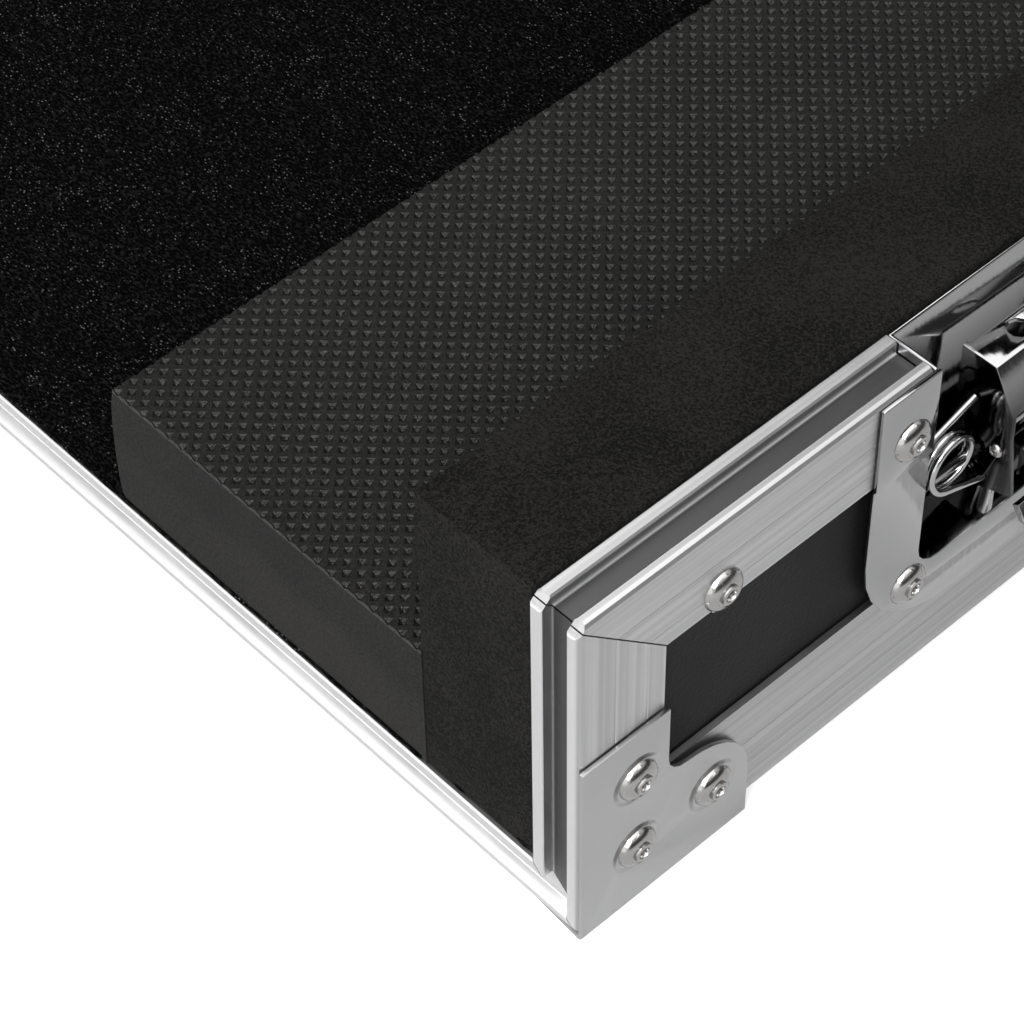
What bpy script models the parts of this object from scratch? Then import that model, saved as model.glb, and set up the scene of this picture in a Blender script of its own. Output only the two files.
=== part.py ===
# Desk mixer case: tray with mitred groove profiles, recessed turn latches and a rear-hinged lid.
# Metres, +Z up. The front is -Y. Drawn from the middle of the floor panel's underside; PLACE then
# sets the origin in the middle of the ground that the open case covers.

import bpy
import bmesh
from math import cos, pi, radians, sin
from mathutils import Matrix, Vector

# Driving sizes
CASE_W = 0.566
CASE_D = 0.480
TRAY_H = 0.0915
LID_H = 0.1045
PANEL_T = 0.007
GAP = 0.0003
SHEET_T = 0.0009
OVERRUN = 0.010
LAP = 0.001

# Groove profile: u runs in from the outer face, v runs back from the flange tips
LEG_W = 0.022
LEG_T = 0.002
FLANGE_OUT = 0.003
GROOVE_W = 0.0062
FLANGE_IN = 0.003
GROOVE_DEPTH = 0.0028
WEB_T = 0.002
INNER_LEG_W = 0.012
OUTER_ROUND = 0.0015
TIP_CHAMFER = 0.0004
NOSE_CUT = 0.0026
TONGUE_SIDE_GAP = 0.0006
TONGUE_TIP_GAP = 0.0006

# Edge angles
ANGLE_W = 0.0316
ANGLE_T = 0.0014
ANGLE_INSET = 0.0006
ANGLE_ROUND = 0.0028
CORNER_TUCK = 0.0001

# Front corner plates: reach along the case and up the post
PLATE_Y = 0.0446
PLATE_Z = 0.0515
PLATE_WAIST_Y = 0.0222
PLATE_WAIST_Z = 0.031
PLATE_FILLET = 0.0052
PLATE_BUMP = 0.017
PLATE_UNDER = 0.020

# Pressed corners
CORNER_REACH = 0.035
CORNER_ROUND = 0.0028

# Lining
FELT_T = 0.0011
FOAM_BLOCK_T = 0.0305
FOAM_RAIL_W = 0.0932
FOAM_RAIL_TOP = 0.0472
FOAM_BLOCK_TOP = 0.0925
FOAM_FRONT = 0.0008
FOAM_ROUND = 0.003
LID_FOAM_T = 0.012

# Latch dish
LATCH_Y = 0.1275
DISH_W = 0.104
DISH_FOOT = 0.0195
DISH_ROUND = 0.027
DISH_STEP = 0.0006
PAN_W = 0.073
PAN_DEPTH = 0.011
PAN_FOOT = 0.034
PAN_ROUND = 0.006

# Latch mechanism
PIVOT_IN = 0.0015
PIVOT_Z = 0.056
PIN_R = 0.0015
HOOK_W = 0.039
HOOK_T = 0.0012
HOOK_TOP = 0.0788
HOOK_BACK = 0.008
HOOK_LIFT = 0.006
WEB_BACK = 0.0072
HOOK_HOLE_R = 0.0026
HOOK_HOLE_IN = 0.0036
HOOK_HOLE_Y = 0.0085
SPINDLE_Z = 0.042
SPINDLE_R = 0.004
CRANK_R = 0.003
CRANK_DISC_R = 0.007
CRANK_PIN_R = 0.002
CRANK_PLAY = 0.001
CARRIAGE_T = 0.0012
BEARING_IN = 0.0018
WING_T = 0.0018
WING_OUT = 0.0027
WING_REST = 33
WING_W = 0.026
WING_TIP_W = 0.009
WING_TIP_Z = 0.0155
WING_PIVOT_Z = 0.040
WING_KNUCKLE_R = 0.0019
WING_PIN_R = 0.0009
WING_KNUCKLE_W = 0.009
SPRING_WIRE_R = 0.00075
SPRING_R = 0.0057
SPRING_FLARE = 0.0006
SPRING_PITCH = 0.0022
SPRING_POINTS = 10
SPRING_OFFSET = 0.0065
SPRING_START = 270
SPRING_END = -565
SPRING_DROP = 0.0024
SPRING_LOW_OUT = 0.0018
SPRING_LOW_Z = 0.0485
SPRING_HIGH_OUT = -0.0033
SPRING_HIGH_Z = 0.0662
KEEPER_W = 0.028
KEEPER_T = 0.0008
KEEPER_LIP = 0.0019
KEEPER_LIP_Z = 0.0765
KEEPER_PAN_H = 0.040
KEEPER_DISH_H = 0.054

# Hinges and handle
HINGE_OUT = 0.005
HINGE_X = 0.170
HINGE_W = 0.054
HINGE_LEAF_H = 0.0185
HINGE_LEAF_T = 0.0012
KNUCKLE_R = 0.0032
HINGE_PIN_R = 0.0013
HINGE_BORE_R = 0.00165
HANDLE_W = 0.132
HANDLE_H = 0.086
HANDLE_PAN_W = 0.108
HANDLE_PAN_H = 0.060
HANDLE_Z = 0.105
HANDLE_ROUND = 0.010
BAIL_R = 0.0022
GRIP_R = 0.0036
BAIL_REACH = 0.040
BAIL_W = 0.098

# Rivets
RIVET_R = 0.00475
RIVET_H = 0.0017
RIVET_HOLE_R = 0.00175
RIVET_FIRST_Y = 0.0361
RIVET_DOWN = 0.018
RIVET_SINK = 0.0004
RIVET_SIDES = 8
REAR_RIVET_SHARES = (0.55, 0.72, 0.89)
CROSS_RIVET_SHARES = (-0.82, 0.0, 0.82)
PLATE_RIVETS = ((0.0144, 0.0378), (0.0347, 0.0169), (0.0145, 0.0164))
DISH_RIVET_IN = 0.0087
DISH_RIVET_TOP = 0.0138
DISH_RIVET_LOW_IN = 0.0130
DISH_RIVET_LOW_Z = 0.0125

# Derived places
HALF_W = CASE_W / 2
HALF_D = CASE_D / 2
PANEL_IN = LEG_T + GAP
BASE_Z = -PANEL_IN
RIM_Z = BASE_Z + TRAY_H
PROFILE_T = FLANGE_OUT + GROOVE_W + FLANGE_IN
PANEL_BACK = PANEL_IN + PANEL_T
PANEL_EDGE = GROOVE_DEPTH + WEB_T + GAP
MITRE_GAP = GAP / 2 ** 0.5
LID_TOP = RIM_Z + GAP + LID_H
LID_FRONT = -HALF_D - GAP - PROFILE_T
LATCH_WORLD_Y = LATCH_Y - HALF_D
CUT_HALF = PAN_W / 2 + SHEET_T + GAP
PAN_BACK = PAN_DEPTH + SHEET_T
HINGE_Y = HALF_D + HINGE_OUT
HINGE_Z = RIM_Z + GAP / 2
FOAM_IN = PROFILE_T + GAP
RAIL_IN = FOAM_IN + FOAM_BLOCK_T + GAP
REAR_FOAM_Y = HALF_D - PROFILE_T - GAP
OPEN_LID_BACK = HINGE_Y + LID_TOP + GAP + SHEET_T - HINGE_Z
PLACE = Vector((0, (HALF_D - OPEN_LID_BACK) / 2, GAP + SHEET_T - BASE_Z))

# Shares
ARC_STEPS = 4
BROAD_ARC_STEPS = 7
ROUND_SIDES = 12
CAP_SEGMENTS = 2
SMOOTH_ANGLE = radians(32)

for old in list(bpy.data.objects):
    bpy.data.objects.remove(old)


# Basic tools

def arc(centre_a, centre_b, radius, start, end, steps=ARC_STEPS):
    points = []
    for step in range(steps + 1):
        angle = radians(start + (end - start) * step / steps)
        points.append((centre_a + radius * cos(angle), centre_b + radius * sin(angle)))
    return points


def circle(centre_a, centre_b, radius, sides=ROUND_SIDES):
    return [(centre_a + radius * cos(2 * pi * i / sides), centre_b + radius * sin(2 * pi * i / sides))
            for i in range(sides)]


def rectangle(a0, a1, b0, b1):
    return [(a0, b0), (a1, b0), (a1, b1), (a0, b1)]


def rounded_rectangle(a0, a1, b0, b1, radius, upper=True, steps=ARC_STEPS):
    points = arc(a0 + radius, b0 + radius, radius, 180, 270, steps)
    points += arc(a1 - radius, b0 + radius, radius, 270, 360, steps)
    if upper:
        points += arc(a1 - radius, b1 - radius, radius, 0, 90)
        points += arc(a0 + radius, b1 - radius, radius, 90, 180)
    else:
        points += [(a1, b1), (a0, b1)]
    return points


def loft(outline, *stations, closed=False):
    mesh = bmesh.new()
    rings = [[mesh.verts.new(station(a, b)) for a, b in outline] for station in stations]
    pairs = list(zip(rings, rings[1:]))
    if closed:
        pairs.append((rings[-1], rings[0]))
    count = len(outline)
    for first, last in pairs:
        for i in range(count):
            j = (i + 1) % count
            mesh.faces.new((first[i], first[j], last[j], last[i]))
    if not closed:
        mesh.faces.new(rings[0][::-1])
        mesh.faces.new(rings[-1])
    bmesh.ops.recalc_face_normals(mesh, faces=mesh.faces)
    return mesh


def along_x(outline, x0, x1):
    return loft(outline, lambda y, z: (x0, y, z), lambda y, z: (x1, y, z))


def along_y(outline, y0, y1):
    return loft(outline, lambda x, z: (x, y0, z), lambda x, z: (x, y1, z))


def along_z(outline, z0, z1):
    return loft(outline, lambda x, y: (x, y, z0), lambda x, y: (x, y, z1))


def block(x0, x1, y0, y1, z0, z1):
    return along_z(rectangle(x0, x1, y0, y1), z0, z1)


def clip(mesh, point, normal):
    cut = bmesh.ops.bisect_plane(mesh, geom=mesh.verts[:] + mesh.edges[:] + mesh.faces[:],
                                 plane_co=point, plane_no=normal, clear_outer=True)
    edges = [item for item in cut["geom_cut"] if isinstance(item, bmesh.types.BMEdge)]
    bmesh.ops.holes_fill(mesh, edges=edges, sides=0)
    bmesh.ops.recalc_face_normals(mesh, faces=mesh.faces)
    return mesh


def as_object(mesh, name="tool"):
    data = bpy.data.meshes.new(name)
    mesh.to_mesh(data)
    item = bpy.data.objects.new(name, data)
    bpy.context.scene.collection.objects.link(item)
    return item


def boolean(body, tool, operation):
    base = as_object(body)
    other = as_object(tool)
    step = base.modifiers.new("shape", "BOOLEAN")
    step.operation = operation
    step.solver = "EXACT"
    step.object = other
    view = bpy.context.evaluated_depsgraph_get()
    data = bpy.data.meshes.new_from_object(base.evaluated_get(view))
    result = bmesh.new()
    result.from_mesh(data)
    for item in (base, other):
        bpy.data.objects.remove(item)
    return result


def union(body, *tools):
    for tool in tools:
        body = boolean(body, tool, "UNION")
    return body


def cut(body, *tools):
    for tool in tools:
        body = boolean(body, tool, "DIFFERENCE")
    return body


def mirrored(mesh):
    copy = mesh.copy()
    bmesh.ops.transform(copy, matrix=Matrix.Diagonal((-1, 1, 1, 1)), verts=copy.verts)
    bmesh.ops.reverse_faces(copy, faces=copy.faces)
    return copy


def finish(name, colour, metallic, roughness):
    material = bpy.data.materials.new(name)
    material.use_nodes = True
    shader = material.node_tree.nodes["Principled BSDF"]
    shader.inputs["Base Color"].default_value = (*colour, 1)
    shader.inputs["Metallic"].default_value = metallic
    shader.inputs["Roughness"].default_value = roughness
    return material


SATIN = ((0.56, 0.56, 0.57), 1.0, 0.38)
PLATED = ((0.66, 0.66, 0.67), 1.0, 0.2)
CHROME = ((0.72, 0.72, 0.73), 1.0, 0.08)
BOARD = ((0.028, 0.028, 0.03), 0.0, 0.55)
FOAM = ((0.034, 0.033, 0.031), 0.0, 0.95)
FELT = ((0.009, 0.009, 0.009), 0.0, 1.0)
GRIP = ((0.02, 0.02, 0.02), 0.0, 0.6)


def node(name, mesh, look, pivot=(0, 0, 0), parent=None):
    origin = Vector(pivot)
    bmesh.ops.translate(mesh, verts=mesh.verts, vec=-origin)
    item = as_object(mesh, name)
    item.data.materials.clear()
    item.data.materials.append(finish(name, *look))
    item.data.shade_smooth()
    item.data.set_sharp_from_angle(angle=SMOOTH_ANGLE)
    item.location = origin + PLACE
    if parent:
        item.parent = parent
        item.location = origin - Vector(parent["axis"])
    return item


def pair(name, mesh, look, pivot=(0, 0, 0), parents=(None, None)):
    x, y, z = pivot
    copy = mirrored(mesh)
    node(name + "_right", mesh, look, (x, y, z), parents[0])
    node(name + "_left", copy, look, (-x, y, z), parents[1])


def guide(name, axis, turn=0.0):
    empty = bpy.data.objects.new(name, None)
    bpy.context.scene.collection.objects.link(empty)
    empty.location = Vector(axis) + PLACE
    empty.rotation_euler = (turn, 0, 0)
    empty["axis"] = axis
    return empty


def side_x(u):
    return HALF_W - u


# Rivets are fused with the sheet or profile that they fasten

def rivet(place, direction):
    rings = [(RIVET_R, -RIVET_SINK), (RIVET_R * 0.97, RIVET_H / 2), (RIVET_HOLE_R, RIVET_H)]
    rings += [(RIVET_HOLE_R * 0.9, RIVET_H / 2)]
    turn = Vector((0, 0, 1)).rotation_difference(Vector(direction)).to_matrix().to_4x4()
    matrix = Matrix.Translation(place) @ turn
    mesh = bmesh.new()
    loops = []
    for radius, height in rings:
        loops.append([mesh.verts.new(matrix @ Vector((a, b, height)))
                      for a, b in circle(0, 0, radius, RIVET_SIDES)])
    for low, high in zip(loops, loops[1:]):
        for i in range(RIVET_SIDES):
            j = (i + 1) % RIVET_SIDES
            mesh.faces.new((low[i], low[j], high[j], high[i]))
    mesh.faces.new(loops[0][::-1])
    mesh.faces.new(loops[-1])
    bmesh.ops.recalc_face_normals(mesh, faces=mesh.faces)
    return mesh


def riveted(body, places, direction):
    return union(body, *[rivet(place, direction) for place in places])


# Profiles

def groove_profile():
    tongue_in = FLANGE_OUT + GROOVE_W
    points = [(LEG_T, LEG_W), (0, LEG_W)]
    points += arc(OUTER_ROUND, OUTER_ROUND, OUTER_ROUND, 180, 270, 3)
    points += [(FLANGE_OUT - TIP_CHAMFER, 0), (FLANGE_OUT, TIP_CHAMFER), (FLANGE_OUT, GROOVE_DEPTH)]
    points += [(tongue_in, GROOVE_DEPTH), (tongue_in, TIP_CHAMFER), (tongue_in + TIP_CHAMFER, 0)]
    points += [(PROFILE_T - TIP_CHAMFER, 0), (PROFILE_T, TIP_CHAMFER), (PROFILE_T, INNER_LEG_W)]
    points += [(PANEL_BACK + GAP, INNER_LEG_W), (PANEL_BACK + GAP, GROOVE_DEPTH + WEB_T)]
    points += [(LEG_T, GROOVE_DEPTH + WEB_T)]
    return points


def tongue_profile():
    low = FLANGE_OUT + TONGUE_SIDE_GAP
    high = FLANGE_OUT + GROOVE_W - TONGUE_SIDE_GAP
    tip = TONGUE_TIP_GAP - GROOVE_DEPTH
    points = [(LEG_T, LEG_W), (0, LEG_W), (0, GAP), (low, GAP), (low, tip + TIP_CHAMFER)]
    points += [(low + TIP_CHAMFER, tip), (high - TIP_CHAMFER, tip), (high, tip + TIP_CHAMFER)]
    points += [(high, GAP), (PROFILE_T, GAP), (PROFILE_T, INNER_LEG_W)]
    points += [(PANEL_BACK + GAP, INNER_LEG_W), (PANEL_BACK + GAP, GAP + WEB_T)]
    points += [(LEG_T, GAP + WEB_T)]
    return points


def angle_profile(leg_a=ANGLE_W, leg_b=ANGLE_W):
    low = ANGLE_INSET
    high = ANGLE_INSET + ANGLE_T
    points = [(high, leg_b), (low, leg_b)]
    points += arc(low + ANGLE_ROUND, low + ANGLE_ROUND, ANGLE_ROUND, 180, 270)
    points += [(leg_a, low), (leg_a, high), (high, high)]
    return points


def trim_nose(mesh, front, top):
    point = (0, front + NOSE_CUT / 2, top - NOSE_CUT / 2)
    return clip(mesh, point, (0, -1, 1))


# Tray panels

def floor_panel():
    reach = HALF_W - PANEL_IN
    return block(-reach, reach, -HALF_D + PANEL_EDGE, HALF_D - PANEL_IN, 0, PANEL_T)


def side_panel(low, high, front, back, notch_low, notch_high):
    body = block(side_x(PANEL_BACK), side_x(PANEL_IN), front, back, low, high)
    notch = block(side_x(PANEL_BACK) - OVERRUN, side_x(PANEL_IN) + OVERRUN,
                  LATCH_WORLD_Y - CUT_HALF, LATCH_WORLD_Y + CUT_HALF, notch_low, notch_high)
    return cut(body, notch)


def cross_panel(low, high):
    reach = side_x(PANEL_BACK + GAP)
    return block(-reach, reach, HALF_D - PANEL_BACK, HALF_D - PANEL_IN, low, high)


PANEL_TOP = RIM_Z - PANEL_EDGE
node("floor_panel", floor_panel(), BOARD)
pair("side_panel", side_panel(PANEL_T + GAP, PANEL_TOP, -HALF_D + PANEL_EDGE, HALF_D - PANEL_IN,
                              BASE_Z + PAN_FOOT - SHEET_T - GAP, RIM_Z + OVERRUN), BOARD)
node("rear_panel", cross_panel(PANEL_T + GAP, PANEL_TOP), BOARD)


# Tray profiles

def front_sill():
    return loft(groove_profile(),
                lambda u, v: (HALF_W - u - MITRE_GAP, v - HALF_D, BASE_Z + u),
                lambda u, v: (u - HALF_W + MITRE_GAP, v - HALF_D, BASE_Z + u))


def front_post():
    body = loft(groove_profile(),
                lambda u, v: (side_x(u), v - HALF_D, BASE_Z + u + MITRE_GAP),
                lambda u, v: (side_x(u), v - HALF_D, RIM_Z - v - MITRE_GAP))
    return trim_nose(body, -HALF_D, RIM_Z)


def rail_front():
    body = loft(groove_profile(),
                lambda u, v: (side_x(u), v - HALF_D + MITRE_GAP, RIM_Z - v),
                lambda u, v: (side_x(u), LATCH_WORLD_Y - CUT_HALF, RIM_Z - v))
    body = trim_nose(body, -HALF_D, RIM_Z)
    return riveted(body, [(HALF_W, RIVET_FIRST_Y - HALF_D, RIM_Z - RIVET_DOWN)], (1, 0, 0))


def side_rivet_places(z):
    return [(HALF_W, CASE_D * share - HALF_D, z) for share in REAR_RIVET_SHARES]


def rear_rivet_places(z):
    return [(HALF_W * share, HALF_D, z) for share in CROSS_RIVET_SHARES]


def rail_back():
    body = loft(groove_profile(),
                lambda u, v: (side_x(u), LATCH_WORLD_Y + CUT_HALF, RIM_Z - v),
                lambda u, v: (side_x(u), HALF_D - u - MITRE_GAP, RIM_Z - v))
    return riveted(body, side_rivet_places(RIM_Z - RIVET_DOWN), (1, 0, 0))


def rail_rear():
    body = loft(groove_profile(),
                lambda u, v: (HALF_W - u - MITRE_GAP, HALF_D - u, RIM_Z - v),
                lambda u, v: (u - HALF_W + MITRE_GAP, HALF_D - u, RIM_Z - v))
    return riveted(body, rear_rivet_places(RIM_Z - RIVET_DOWN), (0, 1, 0))


node("front_sill", front_sill(), SATIN)
pair("front_post", front_post(), SATIN)
pair("top_rail_front", rail_front(), SATIN)
pair("top_rail_back", rail_back(), SATIN)
node("top_rail_rear", rail_rear(), SATIN)


# Tray edge angles

def bottom_edge_side():
    return loft(angle_profile(),
                lambda u, v: (side_x(u), LEG_W - HALF_D + GAP, BASE_Z + v),
                lambda u, v: (side_x(u), HALF_D - u - MITRE_GAP, BASE_Z + v))


def bottom_edge_rear():
    return loft(angle_profile(),
                lambda u, v: (HALF_W - u - MITRE_GAP, HALF_D - u, BASE_Z + v),
                lambda u, v: (u - HALF_W + MITRE_GAP, HALF_D - u, BASE_Z + v))


def corner_edge_rear():
    return loft(angle_profile(),
                lambda u, v: (side_x(u), HALF_D - v, BASE_Z + ANGLE_W + GAP),
                lambda u, v: (side_x(u), HALF_D - v, RIM_Z - LEG_W - GAP))


pair("bottom_edge", bottom_edge_side(), SATIN)
node("bottom_edge_rear", bottom_edge_rear(), SATIN)
pair("rear_corner_edge", corner_edge_rear(), SATIN)


# Corner plates and pressed corners

def corner_plate():
    out = HALF_W + GAP + SHEET_T
    low = BASE_Z - GAP - SHEET_T
    bend = SHEET_T + GAP
    outer = [(out, RIM_Z)] + arc(out - bend, low + bend, bend, 0, -90)
    inner = [(out - PLATE_UNDER, low), (out - PLATE_UNDER, low + SHEET_T)]
    inner += [(out - SHEET_T, low + SHEET_T), (out - SHEET_T, RIM_Z)]
    sheet = along_y(outer + inner, -HALF_D, PLATE_Y - HALF_D + OVERRUN)
    front = -HALF_D + GAP
    waist_y = front + PLATE_WAIST_Y
    waist_z = BASE_Z + PLATE_WAIST_Z
    far = PLATE_Y - HALF_D
    outline = [(front, low - OVERRUN), (far, low - OVERRUN)]
    outline += arc(far - PLATE_BUMP, waist_z - PLATE_BUMP, PLATE_BUMP, 0, 90, BROAD_ARC_STEPS)
    outline += arc(waist_y + PLATE_FILLET, waist_z + PLATE_FILLET, PLATE_FILLET, 270, 180)
    outline += [(waist_y, BASE_Z + PLATE_Z), (front, BASE_Z + PLATE_Z)]
    body = boolean(sheet, along_x(outline, HALF_W - PLATE_UNDER - OVERRUN, out + OVERRUN), "INTERSECT")
    places = [(out, y - HALF_D, BASE_Z + z) for y, z in PLATE_RIVETS]
    return riveted(body, places, (1, 0, 0))


def pressed_corner(x, y, z, sign_y, sign_z):
    out = GAP + SHEET_T
    reach = CORNER_REACH
    skin = block(0, reach + out, 0, reach + out, 0, reach + out)
    corner = [edge for edge in skin.edges
              if any(v.co.length < GAP for v in edge.verts)]
    bmesh.ops.bevel(skin, geom=corner, offset=CORNER_ROUND, segments=CAP_SEGMENTS, affect="EDGES",
                    profile=0.5, clamp_overlap=True)
    hollow = block(SHEET_T, reach + OVERRUN, SHEET_T, reach + OVERRUN, SHEET_T, reach + OVERRUN)
    fold = [edge for edge in hollow.edges
            if any((v.co - Vector((SHEET_T, SHEET_T, SHEET_T))).length < GAP for v in edge.verts)]
    bmesh.ops.bevel(hollow, geom=fold, offset=CORNER_ROUND - SHEET_T, segments=CAP_SEGMENTS,
                    affect="EDGES", profile=0.5, clamp_overlap=True)
    skin = cut(skin, hollow)
    matrix = Matrix.Translation((x, y, z)) @ Matrix.Diagonal((-1, -sign_y, -sign_z, 1))
    matrix = matrix @ Matrix.Translation((-out, -out, -out))
    bmesh.ops.transform(skin, matrix=matrix, verts=skin.verts)
    bmesh.ops.recalc_face_normals(skin, faces=skin.faces)
    return skin


pair("corner_plate", corner_plate(), PLATED)
pair("rear_ball_corner", pressed_corner(HALF_W, HALF_D, BASE_Z, 1, -1), PLATED)


# Lining

def floor_lining():
    reach = HALF_W - FOAM_IN
    sill_top = BASE_Z + PROFILE_T + GAP
    floor_top = PANEL_T + GAP
    step = INNER_LEG_W + GAP
    profile = [(FOAM_FRONT, sill_top), (step, sill_top), (step, floor_top)]
    profile += [(REAR_FOAM_Y + HALF_D, floor_top), (REAR_FOAM_Y + HALF_D, floor_top + FELT_T)]
    profile += [(LEG_W, floor_top + FELT_T), (step, sill_top + FELT_T)]
    profile += [(FOAM_FRONT, sill_top + FELT_T)]
    outline = [(y - HALF_D, z) for y, z in profile]
    return along_x(outline, -reach, reach)


FOAM_FOOT = PANEL_T + GAP + FELT_T + GAP
FOAM_STEP_TOP = BASE_Z + PROFILE_T + GAP + FELT_T + GAP


def foam_step():
    return block(0, HALF_W, -HALF_D - OVERRUN, LEG_W + GAP - HALF_D,
                 FOAM_FOOT - OVERRUN, FOAM_STEP_TOP)


def foam_rail():
    front = FOAM_FRONT - HALF_D
    inner = side_x(RAIL_IN + FOAM_RAIL_W)
    outline = [(side_x(RAIL_IN), front), (side_x(RAIL_IN), REAR_FOAM_Y), (inner, REAR_FOAM_Y)]
    outline += arc(inner + FOAM_ROUND, front + FOAM_ROUND, FOAM_ROUND, 180, 270)
    return cut(along_z(outline, FOAM_FOOT, BASE_Z + FOAM_RAIL_TOP), foam_step())


def foam_block():
    body = block(side_x(FOAM_IN + FOAM_BLOCK_T), side_x(FOAM_IN), FOAM_FRONT - HALF_D, REAR_FOAM_Y,
                 FOAM_FOOT, BASE_Z + FOAM_BLOCK_TOP)
    return cut(body, foam_step())


node("floor_lining", floor_lining(), FELT)
pair("foam_rail", foam_rail(), FOAM)
pair("foam_block", foam_block(), FOAM)


# Latch dish

def dish(top, foot, pan_foot, step_z, way):
    lower = HALF_W + GAP - DISH_STEP
    upper = HALF_W + GAP
    face = upper + SHEET_T
    high = step_z - way * GAP
    low = high - way * SHEET_T
    section = [(upper, top), (upper, high), (lower, low), (lower, foot), (lower + SHEET_T, foot)]
    section += [(lower + SHEET_T, low), (face, high), (face, top)]
    middle = LATCH_WORLD_Y
    flange = along_y(section, middle - DISH_W, middle + DISH_W)
    half = PAN_W / 2
    edge = DISH_W / 2
    outline = rounded_rectangle(middle - edge, middle + edge, way * foot, way * top, DISH_ROUND, False,
                                BROAD_ARC_STEPS)
    tub = rounded_rectangle(middle - half - SHEET_T, middle + half + SHEET_T, way * pan_foot - SHEET_T,
                            way * top, PAN_ROUND + SHEET_T, False)
    inside = rounded_rectangle(middle - half, middle + half, way * pan_foot, way * top + OVERRUN,
                               PAN_ROUND, False)
    outline, tub, inside = [[(y, way * z) for y, z in points] for points in (outline, tub, inside)]
    flange = boolean(flange, along_x(outline, HALF_W - OVERRUN, face + OVERRUN), "INTERSECT")
    body = union(flange, along_x(tub, HALF_W - PAN_BACK, lower + SHEET_T / 2))
    body = cut(body, along_x(inside, HALF_W - PAN_DEPTH, face + OVERRUN))
    upper_places = [(face, middle + sign * (edge - DISH_RIVET_IN), top - way * DISH_RIVET_TOP)
                    for sign in (-1, 1)]
    lower_places = [(lower + SHEET_T, middle + sign * (edge - DISH_RIVET_LOW_IN),
                     foot + way * DISH_RIVET_LOW_Z) for sign in (-1, 1)]
    return riveted(body, upper_places + lower_places, (1, 0, 0))


def latch_dish():
    body = dish(RIM_Z - GAP, BASE_Z + DISH_FOOT, BASE_Z + PAN_FOOT, RIM_Z - LEG_W, 1)
    reach = PAN_W / 2 + SHEET_T / 2
    pin = rod_y(-PIVOT_IN, PIVOT_Z, PIN_R, LATCH_WORLD_Y - reach, LATCH_WORLD_Y + reach)
    return union(body, pin)


# Latch mechanism, drawn for the right-hand side

PIVOT = (HALF_W - PIVOT_IN, LATCH_WORLD_Y, BASE_Z + PIVOT_Z)
LATCH_AXES = (guide("latch_axis_right", PIVOT), guide("latch_axis_left", (-PIVOT[0], PIVOT[1], PIVOT[2])))
HOOK_HALF = HOOK_W / 2
CARRIAGE_HALF = HOOK_HALF - HOOK_T - GAP


def latch_point(out, height):
    return (HALF_W + out, BASE_Z + height)


def plate_y(outline, centre, thickness):
    return along_y([latch_point(a, b) for a, b in outline], centre - thickness / 2, centre + thickness / 2)


def rod_y(out, height, radius, y0, y1, sides=ROUND_SIDES):
    x, z = latch_point(out, height)
    return along_y(circle(x, z, radius, sides), y0, y1)


def rod_x(x0, x1, y, height, radius, sides=ROUND_SIDES):
    return along_x(circle(y, BASE_Z + height, radius, sides), HALF_W + x0, HALF_W + x1)


BACK_PLATE_IN = HOOK_BACK - GAP
BACK_PLATE_T = HOOK_T
CRANK_DISC_BACK = BEARING_IN + CARRIAGE_T + GAP + HOOK_T
SLOT_HALF_W = CRANK_R + CRANK_PIN_R + CRANK_PLAY
SLOT_HALF_H = CRANK_PIN_R + CRANK_PLAY
CRANK_Z = SPINDLE_Z - CRANK_R
BACK_PLATE_FOOT = PAN_FOOT + 2 * GAP
BACK_PLATE_TOP = PIVOT_Z + PIN_R
FACE_OUT = 0.0006
BROW_OUT = 0.0059
BROW_Z = 0.0690
SHIN_Z = 0.0620
KNEE_OUT = 0.0078
KNEE_Z = 0.0480
HEEL_Z = 0.0450


def hook_cheek(sign):
    outline = [(-HOOK_BACK, HOOK_TOP), (FACE_OUT, HOOK_TOP), (BROW_OUT, BROW_Z), (BROW_OUT, SHIN_Z)]
    outline += [(KNEE_OUT, KNEE_Z), (0, HEEL_Z), (-PIVOT_IN, BACK_PLATE_FOOT), (-HOOK_BACK, BACK_PLATE_FOOT)]
    centre = LATCH_WORLD_Y + sign * (HOOK_HALF - HOOK_T / 2)
    cheek = plate_y(outline, centre, HOOK_T)
    play = PIN_R + GAP * 2
    slot = arc(-PIVOT_IN, PIVOT_Z - HOOK_LIFT, play, 180, 360) + arc(-PIVOT_IN, PIVOT_Z, play, 0, 180)
    return cut(cheek, plate_y(slot, centre, OVERRUN))


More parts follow.
